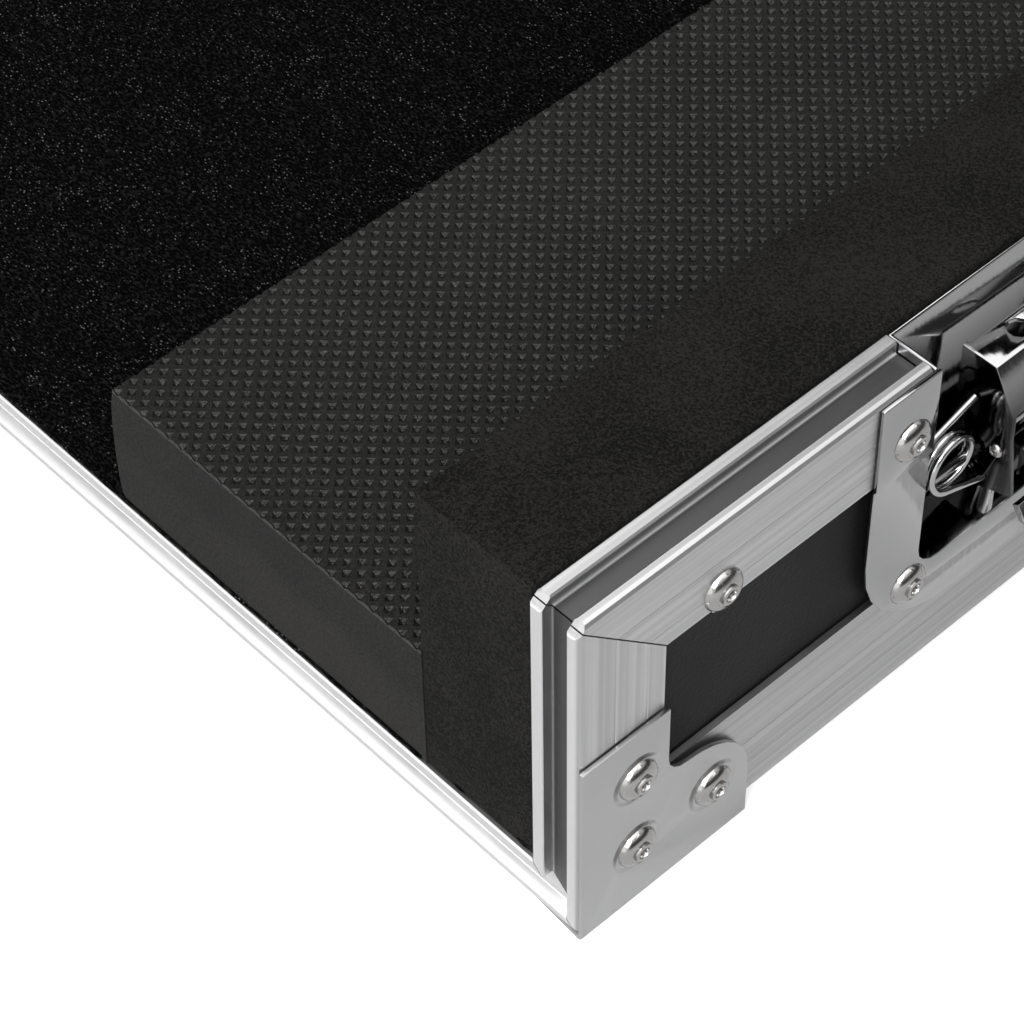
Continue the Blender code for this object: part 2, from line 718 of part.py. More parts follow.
def hook():
    inner = HOOK_HALF - HOOK_T / 2
    y0 = LATCH_WORLD_Y - inner
    y1 = LATCH_WORLD_Y + inner
    web = [(-WEB_BACK, HOOK_TOP), (-WEB_BACK, HOOK_TOP - HOOK_T), (FACE_OUT - HOOK_T / 2, HOOK_TOP - HOOK_T)]
    web += [(BROW_OUT - HOOK_T, BROW_Z), (BROW_OUT, BROW_Z), (FACE_OUT, HOOK_TOP)]
    top = along_y([latch_point(a, b) for a, b in web], y0, y1)
    back = block(HALF_W - BACK_PLATE_IN, HALF_W - BACK_PLATE_IN + BACK_PLATE_T, y0, y1,
                 BASE_Z + BACK_PLATE_FOOT, BASE_Z + BACK_PLATE_TOP)
    body = union(hook_cheek(-1), hook_cheek(1), top, back)
    slot = rounded_rectangle(LATCH_WORLD_Y - SLOT_HALF_W, LATCH_WORLD_Y + SLOT_HALF_W,
                             BASE_Z + CRANK_Z - SLOT_HALF_H, BASE_Z + CRANK_Z + SLOT_HALF_H,
                             CRANK_PIN_R)
    body = cut(body, along_x(slot, HALF_W - PAN_DEPTH, HALF_W - BEARING_IN))
    holes = []
    for sign in (-1, 1):
        centre = LATCH_WORLD_Y + sign * HOOK_HOLE_Y
        ring = circle(HALF_W - HOOK_HOLE_IN, centre, HOOK_HOLE_R, 10)
        holes.append(along_z(ring, BASE_Z + HOOK_TOP - HOOK_T * 2, BASE_Z + HOOK_TOP + HOOK_T))
    return cut(body, *holes)


EAR_OUT = 0.0020
EAR_BACK = 0.0050
EAR_TOP = 0.0600
EAR_FOOT = 0.0360
BEARING_TOP = 0.0490


def carriage():
    play = PIN_R + GAP
    parts = []
    for sign in (-1, 1):
        centre = LATCH_WORLD_Y + sign * (CARRIAGE_HALF - CARRIAGE_T / 2)
        ear = plate_y(rounded_rectangle(-EAR_BACK, EAR_OUT, EAR_FOOT, EAR_TOP, EAR_OUT), centre, CARRIAGE_T)
        parts.append(cut(ear, rod_y(-PIVOT_IN, PIVOT_Z, play, centre - OVERRUN, centre + OVERRUN)))
    inner = CARRIAGE_HALF - CARRIAGE_T / 2
    bearing = block(HALF_W - BEARING_IN - CARRIAGE_T, HALF_W - BEARING_IN, LATCH_WORLD_Y - inner,
                    LATCH_WORLD_Y + inner, BASE_Z + EAR_FOOT + CARRIAGE_T, BASE_Z + BEARING_TOP)
    body = union(parts[0], parts[1], bearing)
    return cut(body, rod_x(-PAN_DEPTH, 0, LATCH_WORLD_Y, SPINDLE_Z, SPINDLE_R + GAP, 16))


WING_PIVOT_OUT = WING_OUT + WING_T / 2
FORK_HALF = WING_KNUCKLE_W / 2 + GAP
FORK_T = 0.0020
FORK_BACK = 0.0004
FORK_FRONT = WING_PIVOT_OUT + WING_KNUCKLE_R
FORK_R = WING_KNUCKLE_R


def spindle():
    bearing_back = BEARING_IN + CARRIAGE_T
    shaft = rod_x(-CRANK_DISC_BACK + HOOK_T / 2, FORK_BACK, LATCH_WORLD_Y, SPINDLE_Z, SPINDLE_R, 16)
    disc = rod_x(-CRANK_DISC_BACK, -bearing_back - GAP, LATCH_WORLD_Y, SPINDLE_Z, CRANK_DISC_R, 16)
    pin = rod_x(-BACK_PLATE_IN - GAP, -CRANK_DISC_BACK + GAP, LATCH_WORLD_Y, CRANK_Z, CRANK_PIN_R)
    head = block(HALF_W + FORK_BACK - SHEET_T, HALF_W + FORK_BACK + SHEET_T,
                 LATCH_WORLD_Y - FORK_HALF - FORK_T, LATCH_WORLD_Y + FORK_HALF + FORK_T,
                 BASE_Z + WING_PIVOT_Z - FORK_R, BASE_Z + SPINDLE_Z + SPINDLE_R)
    parts = [disc, pin, head]
    for sign in (-1, 1):
        inner = LATCH_WORLD_Y + sign * FORK_HALF
        outer = LATCH_WORLD_Y + sign * (FORK_HALF + FORK_T)
        ear = [(FORK_BACK, WING_PIVOT_Z - FORK_R), (WING_PIVOT_OUT, WING_PIVOT_Z - FORK_R)]
        ear += arc(WING_PIVOT_OUT, WING_PIVOT_Z, FORK_R, -90, 90)[1:]
        ear += [(FORK_BACK, WING_PIVOT_Z + FORK_R)]
        parts.append(along_y([latch_point(a, b) for a, b in ear], min(inner, outer), max(inner, outer)))
    across = FORK_HALF + FORK_T / 2
    parts.append(rod_y(WING_PIVOT_OUT, WING_PIVOT_Z, WING_PIN_R, LATCH_WORLD_Y - across,
                       LATCH_WORLD_Y + across))
    return union(shaft, *parts)


def wing():
    half = WING_W / 2
    tip = WING_TIP_W / 2
    neck = WING_KNUCKLE_W / 2
    shoulder = WING_PIVOT_Z - WING_KNUCKLE_R - GAP
    middle = LATCH_WORLD_Y
    outline = [(middle - neck, WING_PIVOT_Z), (middle - neck, shoulder), (middle - half, shoulder)]
    outline += [(middle - half, shoulder - WING_KNUCKLE_R * 2)]
    outline += arc(middle, WING_TIP_Z + tip, tip, 180, 360)
    outline += [(middle + half, shoulder - WING_KNUCKLE_R * 2), (middle + half, shoulder)]
    outline += [(middle + neck, shoulder), (middle + neck, WING_PIVOT_Z)]
    blade = along_x([(y, BASE_Z + z) for y, z in outline], HALF_W + WING_OUT, HALF_W + WING_OUT + WING_T)
    knuckle = rod_y(WING_PIVOT_OUT, WING_PIVOT_Z, WING_KNUCKLE_R, middle - neck, middle + neck)
    bore = rod_y(WING_PIVOT_OUT, WING_PIVOT_Z, WING_PIN_R + GAP, middle - half, middle + half)
    body = cut(union(blade, knuckle), bore)
    x, z = latch_point(WING_PIVOT_OUT, WING_PIVOT_Z)
    tilt = Matrix.Rotation(radians(WING_REST), 3, (0, -1, 0))
    bmesh.ops.rotate(body, verts=body.verts, cent=(x, middle, z), matrix=tilt)
    return body


def spring_path():
    x, z = latch_point(-PIVOT_IN, PIVOT_Z)
    start = LATCH_WORLD_Y - PAN_W / 2 + SPRING_OFFSET
    cheek = LATCH_WORLD_Y - HOOK_HALF - GAP
    low_x, low_z = latch_point(SPRING_LOW_OUT, SPRING_LOW_Z)
    high_x, high_z = latch_point(SPRING_HIGH_OUT, SPRING_HIGH_Z)
    first_r = SPRING_R + SPRING_FLARE
    dip = z - first_r - SPRING_DROP
    hook = cheek - 2 * SPRING_WIRE_R
    points = [(low_x, cheek, low_z), (low_x, hook, low_z), (low_x - SPRING_R / 4, (start + cheek) / 2, dip)]
    points.append((x, start + SPRING_PITCH / 2, dip))
    points.append((x, start, dip + SPRING_DROP / 3))
    count = round((SPRING_START - SPRING_END) * SPRING_POINTS / 360)
    for i in range(count + 1):
        share = i / count
        angle = radians(SPRING_START + (SPRING_END - SPRING_START) * share)
        radius = max(first_r - SPRING_FLARE * 2 * share, SPRING_R)
        height = start + SPRING_PITCH * i / SPRING_POINTS
        points.append((x + radius * cos(angle), height, z + radius * sin(angle)))
    points += [(high_x, hook, high_z), (high_x, cheek, high_z)]
    return points


def closest_self_gap(points):
    least = None
    skip = SPRING_POINTS // 2
    for i, first in enumerate(points):
        for second in points[i + skip:]:
            span = (Vector(first) - Vector(second)).length - 2 * SPRING_WIRE_R
            least = span if least is None else min(least, span)
    return least


def tube_mesh(points, radius, resolution=1):
    curve = bpy.data.curves.new("wire", "CURVE")
    curve.dimensions = "3D"
    curve.bevel_depth = radius
    curve.bevel_resolution = resolution
    curve.use_fill_caps = True
    line = curve.splines.new("POLY")
    line.points.add(len(points) - 1)
    for i, point in enumerate(points):
        line.points[i].co = (*point, 1)
    item = bpy.data.objects.new("wire", curve)
    bpy.context.scene.collection.objects.link(item)
    view = bpy.context.evaluated_depsgraph_get()
    data = bpy.data.meshes.new_from_object(item.evaluated_get(view))
    result = bmesh.new()
    result.from_mesh(data)
    bmesh.ops.remove_doubles(result, verts=result.verts, dist=GAP / 10)
    bmesh.ops.recalc_face_normals(result, faces=result.faces)
    bpy.data.objects.remove(item)
    return result


spring_points = spring_path()
print("least gap of a latch spring to itself, mm:", round(closest_self_gap(spring_points) * 1000, 2))
pair("latch_dish", latch_dish(), CHROME)
pair("latch_spring", tube_mesh(spring_points, SPRING_WIRE_R), CHROME)
pair("latch_carriage", carriage(), PLATED, PIVOT, LATCH_AXES)
pair("latch_hook", hook(), CHROME, PIVOT, LATCH_AXES)
pair("latch_spindle", spindle(), PLATED, (HALF_W, LATCH_WORLD_Y, BASE_Z + SPINDLE_Z), LATCH_AXES)
pair("latch_wing", wing(), CHROME, (HALF_W + WING_PIVOT_OUT, LATCH_WORLD_Y, BASE_Z + WING_PIVOT_Z),
     LATCH_AXES)


# Lid, drawn closed and carried by the hinge line, which turns it upright

HINGE_LINE = (0, HINGE_Y, HINGE_Z)
lid = guide("lid_axis", HINGE_LINE, -pi / 2)
LIDS = (lid, lid)
LID_RIM = RIM_Z + GAP
LID_PANEL_TOP = LID_TOP - PANEL_BACK - GAP
LID_PANEL_LOW = RIM_Z + GAP + WEB_T + GAP
FRONT_FOOT = BASE_Z + ANGLE_INSET


def lid_top_panel():
    reach = HALF_W - PANEL_IN
    return block(-reach, reach, LID_FRONT + PANEL_IN, HALF_D - PANEL_IN,
                 LID_TOP - PANEL_BACK, LID_TOP - PANEL_IN)


def lid_front_panel():
    reach = HALF_W - PANEL_IN
    body = block(-reach, reach, LID_FRONT + PANEL_IN, LID_FRONT + PANEL_BACK,
                 FRONT_FOOT + ANGLE_T + GAP, LID_PANEL_TOP)
    half_w = HANDLE_PAN_W / 2 + SHEET_T + GAP
    half_h = HANDLE_PAN_H / 2 + SHEET_T + GAP
    window = rounded_rectangle(-half_w, half_w, HANDLE_Z - half_h, HANDLE_Z + half_h, HANDLE_ROUND)
    tool = loft(window, lambda x, z: (x, LID_FRONT - OVERRUN, z), lambda x, z: (x, -HALF_D, z))
    return cut(body, tool)


def post_tongue():
    low = FLANGE_OUT + TONGUE_SIDE_GAP
    high = FLANGE_OUT + GROOVE_W - TONGUE_SIDE_GAP
    seat = LID_FRONT + PANEL_BACK + GAP
    tip = GROOVE_DEPTH - TONGUE_TIP_GAP - HALF_D
    face = -HALF_D - GAP
    outline = [(side_x(PANEL_IN), seat), (side_x(PANEL_IN), face), (side_x(low), face), (side_x(low), tip)]
    outline += [(side_x(high), tip), (side_x(high), face), (side_x(PROFILE_T), face)]
    outline += [(side_x(PROFILE_T), seat)]
    return along_z(outline, BASE_Z + PROFILE_T + GAP, RIM_Z + GAP + WEB_T)


def lid_tongue_front():
    rail = loft(tongue_profile(),
                lambda u, v: (side_x(u), -HALF_D - GAP - LAP, RIM_Z + v),
                lambda u, v: (side_x(u), LATCH_WORLD_Y - CUT_HALF, RIM_Z + v))
    return union(rail, post_tongue())


def lid_tongue_back():
    body = loft(tongue_profile(),
                lambda u, v: (side_x(u), LATCH_WORLD_Y + CUT_HALF, RIM_Z + v),
                lambda u, v: (side_x(u), HALF_D - u, RIM_Z + v),
                lambda u, v: (-side_x(u), HALF_D - u, RIM_Z + v),
                lambda u, v: (-side_x(u), LATCH_WORLD_Y + CUT_HALF, RIM_Z + v))
    places = side_rivet_places(LID_RIM + RIVET_DOWN)
    body = riveted(body, places, (1, 0, 0))
    body = riveted(body, [(-x, y, z) for x, y, z in places], (-1, 0, 0))
    return riveted(body, rear_rivet_places(LID_RIM + RIVET_DOWN), (0, 1, 0))


def lid_corner_edge(y, way, side_leg, foot):
    low = ANGLE_INSET + CORNER_TUCK
    high = ANGLE_INSET + ANGLE_T - CORNER_TUCK
    outline = [(high, side_leg), (low, side_leg)]
    outline += arc(low + ANGLE_ROUND, low + ANGLE_ROUND, ANGLE_ROUND, 180, 270)
    outline += [(ANGLE_W, low), (ANGLE_W, high), (high, high)]
    return loft(outline,
                lambda u, v: (side_x(u), y - way * v, foot),
                lambda u, v: (side_x(u), y - way * v, LID_TOP - ANGLE_W + LAP))


def lid_front_foot():
    reach = side_x(ANGLE_W - LAP)
    low = ANGLE_INSET
    high = ANGLE_INSET + ANGLE_T
    back = PROFILE_T - low
    inner = PANEL_BACK + GAP
    outline = [(high, ANGLE_W), (low, ANGLE_W), (low, low), (back, low), (back, LEG_W / 2)]
    outline += [(inner, LEG_W / 2), (inner, high), (high, high)]
    return loft(outline,
                lambda u, v: (-reach, LID_FRONT + u, BASE_Z + v),
                lambda u, v: (reach, LID_FRONT + u, BASE_Z + v))


def lid_edge_frame():
    ring = loft(angle_profile(),
                lambda u, v: (side_x(u), LID_FRONT + u, LID_TOP - v),
                lambda u, v: (side_x(u), HALF_D - u, LID_TOP - v),
                lambda u, v: (-side_x(u), HALF_D - u, LID_TOP - v),
                lambda u, v: (-side_x(u), LID_FRONT + u, LID_TOP - v), closed=True)
    front = lid_corner_edge(LID_FRONT, -1, PROFILE_T - LAP - 2 * GAP, FRONT_FOOT)
    rear = lid_corner_edge(HALF_D, 1, ANGLE_W, LID_RIM + LEG_W + GAP)
    return union(ring, front, mirrored(front), rear, mirrored(rear), lid_front_foot())


def lid_lining():
    reach = side_x(PROFILE_T + GAP)
    return block(-reach, reach, -HALF_D, REAR_FOAM_Y, LID_PANEL_TOP - LID_FOAM_T, LID_PANEL_TOP)


def keeper_dish():
    body = dish(LID_RIM + GAP, LID_RIM + KEEPER_DISH_H, LID_RIM + KEEPER_PAN_H, LID_RIM + LEG_W, -1)
    half = KEEPER_W / 2
    back = HALF_W - PAN_DEPTH
    inner = back + GAP
    plate = block(inner, inner + KEEPER_T, LATCH_WORLD_Y - half, LATCH_WORLD_Y + half,
                  BASE_Z + KEEPER_LIP_Z, RIM_Z + LEG_W)
    lip = block(inner + KEEPER_T / 2, inner + KEEPER_T + KEEPER_LIP, LATCH_WORLD_Y - half,
                LATCH_WORLD_Y + half, BASE_Z + KEEPER_LIP_Z - KEEPER_T, BASE_Z + KEEPER_LIP_Z)
    foot = block(inner - KEEPER_T, inner + KEEPER_T / 2, LATCH_WORLD_Y - half, LATCH_WORLD_Y + half,
                 RIM_Z + LEG_W / 2, RIM_Z + LEG_W)
    return union(body, union(plate, foot, lip))


def handle_dish():
    half_w = HANDLE_W / 2
    half_h = HANDLE_H / 2
    pan_w = HANDLE_PAN_W / 2
    pan_h = HANDLE_PAN_H / 2
    face = LID_FRONT + PANEL_IN - GAP
    back = -HALF_D - GAP
    rim = rounded_rectangle(-half_w, half_w, HANDLE_Z - half_h, HANDLE_Z + half_h, HANDLE_ROUND)
    tub = rounded_rectangle(-pan_w - SHEET_T, pan_w + SHEET_T, HANDLE_Z - pan_h - SHEET_T,
                            HANDLE_Z + pan_h + SHEET_T, HANDLE_ROUND)
    inside = rounded_rectangle(-pan_w, pan_w, HANDLE_Z - pan_h, HANDLE_Z + pan_h, HANDLE_ROUND - SHEET_T)
    body = union(along_y(rim, face - SHEET_T, face), along_y(tub, face - SHEET_T / 2, back))
    return cut(body, along_y(inside, face - OVERRUN, back - SHEET_T))


BAIL_AXIS_Z = HANDLE_Z + HANDLE_PAN_H / 2 - HANDLE_ROUND - BAIL_R
BAIL_AXIS_Y = LID_FRONT + PROFILE_T / 2


def handle_bail():
    half = BAIL_W / 2
    ear = HANDLE_PAN_W / 2 - GAP
    low = BAIL_AXIS_Z - BAIL_REACH
    bend = BAIL_R * 3
    y = BAIL_AXIS_Y
    path = [(-ear, y, BAIL_AXIS_Z), (-half - bend / 2, y, BAIL_AXIS_Z)]
    path += [(-half + a, y, BAIL_AXIS_Z + b) for a, b in ((-bend / 6, -bend / 6), (0, -bend / 2))]
    path += [(x, y, z) for x, z in arc(-half + bend, low + bend, bend, 180, 270)]
    path += [(-x, y, z) for x, y, z in path[::-1]]
    wire = tube_mesh(path, BAIL_R, 2)
    grip_half = half - bend * 2
    grip = along_x(circle(y, low, GRIP_R), -grip_half, grip_half)
    return union(wire, grip)


node("lid_top_panel", lid_top_panel(), BOARD, HINGE_LINE, lid)
node("lid_front_panel", lid_front_panel(), BOARD, HINGE_LINE, lid)
pair("lid_side_panel", side_panel(LID_PANEL_LOW, LID_PANEL_TOP, LID_FRONT + PANEL_BACK + GAP,
                                  HALF_D - PANEL_IN, RIM_Z - OVERRUN,
                                  RIM_Z + KEEPER_PAN_H + SHEET_T + GAP), BOARD, HINGE_LINE, LIDS)
node("lid_rear_panel", cross_panel(LID_PANEL_LOW, LID_PANEL_TOP), BOARD, HINGE_LINE, lid)
pair("lid_tongue_front", lid_tongue_front(), SATIN, HINGE_LINE, LIDS)
node("lid_tongue_back", lid_tongue_back(), SATIN, HINGE_LINE, lid)
node("lid_edge_frame", lid_edge_frame(), SATIN, HINGE_LINE, lid)
pair("lid_ball_corner_rear", pressed_corner(HALF_W, HALF_D, LID_TOP, 1, 1), PLATED, HINGE_LINE, LIDS)
pair("lid_ball_corner_front", pressed_corner(HALF_W, LID_FRONT, LID_TOP, -1, 1), PLATED, HINGE_LINE, LIDS)
node("lid_lining", lid_lining(), FOAM, HINGE_LINE, lid)
pair("lid_keeper_dish", keeper_dish(), CHROME, HINGE_LINE, LIDS)
node("handle_dish", handle_dish(), CHROME, HINGE_LINE, lid)
node("handle_bail", handle_bail(), GRIP, (0, BAIL_AXIS_Y, BAIL_AXIS_Z), lid)


# Hinges

OUTER_KNUCKLE_SHARES = ((-0.5, -0.25), (0.25, 0.5))
MIDDLE_KNUCKLE_SHARES = ((-0.25, 0.25),)
LEAF_RIVET_SHARES = (-0.3, 0.3)


def hinge_half(way, shares):
    y0 = HALF_D + GAP
    root = HINGE_Z + way * KNUCKLE_R
    tip = root + way * HINGE_LEAF_H
    inner = root - way * HINGE_LEAF_T
    body = block(HINGE_X - HINGE_W / 2, HINGE_X + HINGE_W / 2, y0, y0 + HINGE_LEAF_T,
                 min(tip, inner), max(tip, inner))
    for a, b in shares:
        x0 = HINGE_X + HINGE_W * a + GAP / 2
        x1 = HINGE_X + HINGE_W * b - GAP / 2
        web = block(x0, x1, y0 + HINGE_LEAF_T / 2, HINGE_Y, min(root, inner), max(root, inner))
        body = union(body, along_x(circle(HINGE_Y, HINGE_Z, KNUCKLE_R), x0, x1), web)
    reach = HINGE_W / 2 - GAP
    if way < 0:
        body = union(body, along_x(circle(HINGE_Y, HINGE_Z, HINGE_PIN_R), HINGE_X - reach, HINGE_X + reach))
    else:
        body = cut(body, along_x(circle(HINGE_Y, HINGE_Z, HINGE_BORE_R), HINGE_X - reach, HINGE_X + reach))
    places = [(HINGE_X + HINGE_W * share, y0 + HINGE_LEAF_T, root + way * HINGE_LEAF_H / 2)
              for share in LEAF_RIVET_SHARES]
    return riveted(body, places, (0, 1, 0))


pair("hinge_base_leaf", hinge_half(-1, OUTER_KNUCKLE_SHARES), PLATED)
pair("hinge_lid_leaf", hinge_half(1, MIDDLE_KNUCKLE_SHARES), PLATED, HINGE_LINE, LIDS)
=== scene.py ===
# Desk mixer case, dressed: satin profiles, chrome latches, foam rails, felt floor and laminate board.
# Metres, in the case's own frame. The front is -Y and the lid stands open behind the tray.

import bpy
from math import cos, pi, radians, sin, sqrt
from mathutils import Matrix, Vector


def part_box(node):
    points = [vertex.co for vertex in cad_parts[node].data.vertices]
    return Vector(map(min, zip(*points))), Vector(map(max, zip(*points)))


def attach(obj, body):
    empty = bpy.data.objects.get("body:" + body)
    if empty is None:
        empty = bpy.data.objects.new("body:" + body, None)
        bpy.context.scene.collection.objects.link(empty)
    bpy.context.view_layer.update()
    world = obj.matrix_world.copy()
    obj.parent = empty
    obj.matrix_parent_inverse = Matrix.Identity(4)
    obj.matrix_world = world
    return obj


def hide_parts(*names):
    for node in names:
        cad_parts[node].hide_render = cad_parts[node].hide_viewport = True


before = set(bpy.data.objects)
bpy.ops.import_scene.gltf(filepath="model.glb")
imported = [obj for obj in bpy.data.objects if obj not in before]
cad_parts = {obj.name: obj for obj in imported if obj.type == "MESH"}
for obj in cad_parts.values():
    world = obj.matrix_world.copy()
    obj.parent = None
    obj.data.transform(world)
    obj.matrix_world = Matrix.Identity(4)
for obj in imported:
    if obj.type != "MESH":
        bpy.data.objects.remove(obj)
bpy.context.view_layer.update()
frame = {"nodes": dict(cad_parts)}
scene = bpy.context.scene

# Places: out from a side wall's face, back from the front plane, up from the foot of the base profile
WALL = 0.283
FRONT = -0.295425
FOOT = 0.0012
TRAY_H = 0.0915
HINGE_BACK = 0.485
HINGE_UP = 0.09165
LATCH_BACK = 0.1275


def on_case(out, back, up, side=1):
    return Vector((side * (WALL + out), FRONT + back, FOOT + up))


def on_open_lid(out, back, up, side=1):
    return on_case(out, HINGE_BACK + up - HINGE_UP, HINGE_UP - back + HINGE_BACK, side)


# Camera at the photograph's place
SWING = radians(-47.751)
TILT = radians(49.192)
ROLL = radians(1.038)
ahead = Vector((cos(TILT) * sin(SWING), cos(TILT) * cos(SWING), -sin(TILT)))
level = Vector((cos(SWING), -sin(SWING), 0))
lower = ahead.cross(level)
right = cos(ROLL) * level + sin(ROLL) * lower
down = cos(ROLL) * lower - sin(ROLL) * level
stand = on_case(0, 0, 0) - (0.012237 * right + 0.080672 * down + 0.651673 * ahead)
lens = bpy.data.cameras.new("case_camera")
lens.lens = 3419.987 / 1024 * 36
lens.clip_start = 0.01
camera = bpy.data.objects.new("case_camera", lens)
scene.collection.objects.link(camera)
camera.matrix_world = Matrix(((right.x, -down.x, -ahead.x, stand.x), (right.y, -down.y, -ahead.y, stand.y),
                              (right.z, -down.z, -ahead.z, stand.z), (0, 0, 0, 1)))
scene.camera = camera
scene.view_settings.view_transform = "Standard"


# Bench tools

def lay_tools_down():
    if bpy.context.object and bpy.context.object.mode != "OBJECT":
        bpy.ops.object.mode_set(mode="OBJECT")
    bpy.ops.object.select_all(action="DESELECT")


def take(*pieces):
    lay_tools_down()
    for piece in pieces:
        piece.select_set(True)
    bpy.context.view_layer.objects.active = pieces[0]
    return pieces[0]


def named(name):
    piece = bpy.context.object
    piece.name = name
    piece.data.name = name
    bpy.ops.object.transform_apply(location=True, rotation=True, scale=True)
    return piece


def edit(piece, mode="VERT"):
    take(piece)
    bpy.ops.object.mode_set(mode="EDIT")
    bpy.ops.mesh.select_mode(type=mode)
    bpy.ops.mesh.select_all(action="DESELECT")


def done(piece):
    bpy.ops.object.mode_set(mode="OBJECT")
    return piece


def pick(piece, test, kind="vertices"):
    bpy.ops.mesh.select_all(action="DESELECT")
    bpy.ops.object.mode_set(mode="OBJECT")
    for item in getattr(piece.data, kind):
        item.select = bool(test(item))
    bpy.ops.object.mode_set(mode="EDIT")


def work(piece, kind, **settings):
    take(piece)
    step = piece.modifiers.new(kind.lower(), kind)
    for key, value in settings.items():
        setattr(step, key, value)
    bpy.ops.object.modifier_apply(modifier=step.name)
    return piece


def smooth(piece, angle=32):
    take(piece)
    bpy.ops.object.shade_smooth_by_angle(angle=radians(angle))
    return piece


def another(piece, name, matrix):
    twin = bpy.data.objects.new(name, piece.data.copy())
    scene.collection.objects.link(twin)
    twin.data.name = name
    twin.data.transform(matrix)
    if matrix.is_negative:
        twin.data.flip_normals()
    return twin


def gather(name, pieces):
    first = take(*pieces)
    if len(pieces) > 1:
        bpy.ops.object.join()
    first.name = name
    first.data.name = name
    return first


def scrap(*pieces):
    for piece in pieces:
        bpy.data.objects.remove(piece)


def fit(piece, body, finish, material, *nodes):
    piece.data.materials.clear()
    piece.data.materials.append(material)
    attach(piece, body)
    if nodes:
        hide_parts(*nodes)
    return piece


OTHER_SIDE = Matrix.Diagonal((-1, 1, 1, 1))


# Finishes

class Recipe:
    """One finish: a shader, with a few short names for the nodes that feed it."""

    def __init__(self, name, colour, metallic, roughness):
        self.material = bpy.data.materials.new(name)
        self.material.use_nodes = True
        self.tree = self.material.node_tree
        self.shader = self.tree.nodes["Principled BSDF"]
        self.shader.inputs["Base Color"].default_value = (*colour, 1)
        self.shader.inputs["Metallic"].default_value = metallic
        self.shader.inputs["Roughness"].default_value = roughness
        self.place = self.add("ShaderNodeTexCoord").outputs["Object"]

    def add(self, kind, **settings):
        node = self.tree.nodes.new(kind)
        for key, value in settings.items():
            setattr(node, key, value)
        return node

    def join(self, source, target):
        self.tree.links.new(source, target)

    def stretched(self, scale):
        mapping = self.add("ShaderNodeMapping")
        mapping.inputs["Scale"].default_value = scale
        self.join(self.place, mapping.inputs["Vector"])
        return mapping.outputs["Vector"]

    def grain(self, scale, detail=3.0, start=None):
        node = self.add("ShaderNodeTexNoise")
        node.inputs["Scale"].default_value = scale
        node.inputs["Detail"].default_value = detail
        node.inputs["Roughness"].default_value = 0.55
        self.join(start or self.place, node.inputs["Vector"])
        return node.outputs["Fac"]

    def cells(self, scale, start=None):
        node = self.add("ShaderNodeTexVoronoi", feature="F1")
        node.inputs["Scale"].default_value = scale
        self.join(start or self.place, node.inputs["Vector"])
        return node.outputs["Distance"]

    def spread(self, value, low, high, to_low, to_high, course="LINEAR"):
        node = self.add("ShaderNodeMapRange", interpolation_type=course)
        for key, number in (("From Min", low), ("From Max", high), ("To Min", to_low), ("To Max", to_high)):
            node.inputs[key].default_value = number
        self.join(value, node.inputs["Value"])
        return node.outputs["Result"]

    def sum(self, first, second, operation="ADD"):
        node = self.add("ShaderNodeMath", operation=operation)
        for slot, value in zip(node.inputs, (first, second)):
            if isinstance(value, (int, float)):
                slot.default_value = value
            else:
                self.join(value, slot)
        return node.outputs["Value"]

    def part(self, letter):
        node = self.add("ShaderNodeSeparateXYZ")
        self.join(self.place, node.inputs["Vector"])
        return node.outputs[letter]

    def unsigned(self, value):
        size = self.add("ShaderNodeMath", operation="ABSOLUTE")
        self.join(value, size.inputs[0])
        return size.outputs["Value"]

    def line(self, value, centre, half):
        away = self.unsigned(self.sum(value, centre, "SUBTRACT"))
        return self.spread(away, half, half * 0.4, 0.0, 1.0)

    def inside(self, value, low, high, edge=0.0002):
        rise = self.spread(value, low - edge, low + edge, 0.0, 1.0)
        fall = self.spread(value, high - edge, high + edge, 1.0, 0.0)
        return self.sum(rise, fall, "MULTIPLY")

    def tint(self, value, low, high):
        node = self.add("ShaderNodeMix", data_type="RGBA")
        node.inputs["A"].default_value = (*low, 1)
        node.inputs["B"].default_value = (*high, 1)
        self.join(value, node.inputs["Factor"])
        self.join(node.outputs["Result"], self.shader.inputs["Base Color"])

    def over(self, mask, colour):
        node = self.add("ShaderNodeMix", data_type="RGBA")
        base = self.shader.inputs["Base Color"]
        self.join(base.links[0].from_socket, node.inputs["A"])
        node.inputs["B"].default_value = (*colour, 1)
        self.join(mask, node.inputs["Factor"])
        self.join(node.outputs["Result"], base)

    def dull(self, value):
        self.join(value, self.shader.inputs["Roughness"])

    def relief(self, height, distance):
        node = self.add("ShaderNodeBump")
        node.inputs["Strength"].default_value = 1.0
        node.inputs["Distance"].default_value = distance
        self.join(height, node.inputs["Height"])
        self.join(node.outputs["Normal"], self.shader.inputs["Normal"])


DEPTH = 0.480
GROOVE = (0.0031, 0.0089)
GROOVE_SIDE = (WALL - GROOVE[1], WALL - GROOVE[0])
GROOVE_REAR = (FRONT + DEPTH - GROOVE[1], FRONT + DEPTH - GROOVE[0])
GROOVE_FLOOR_SHADE = (0.095, 0.095, 0.097)
NOSE_HIGHLIGHT_TONE = (0.82, 0.82, 0.82)
LIP_HIGHLIGHT_TONE = (0.97, 0.97, 0.97)
RECESS_SHADE_TONE = (0.05, 0.05, 0.052)
DIMPLE_SLOPE = (0.0050, 0.0065)


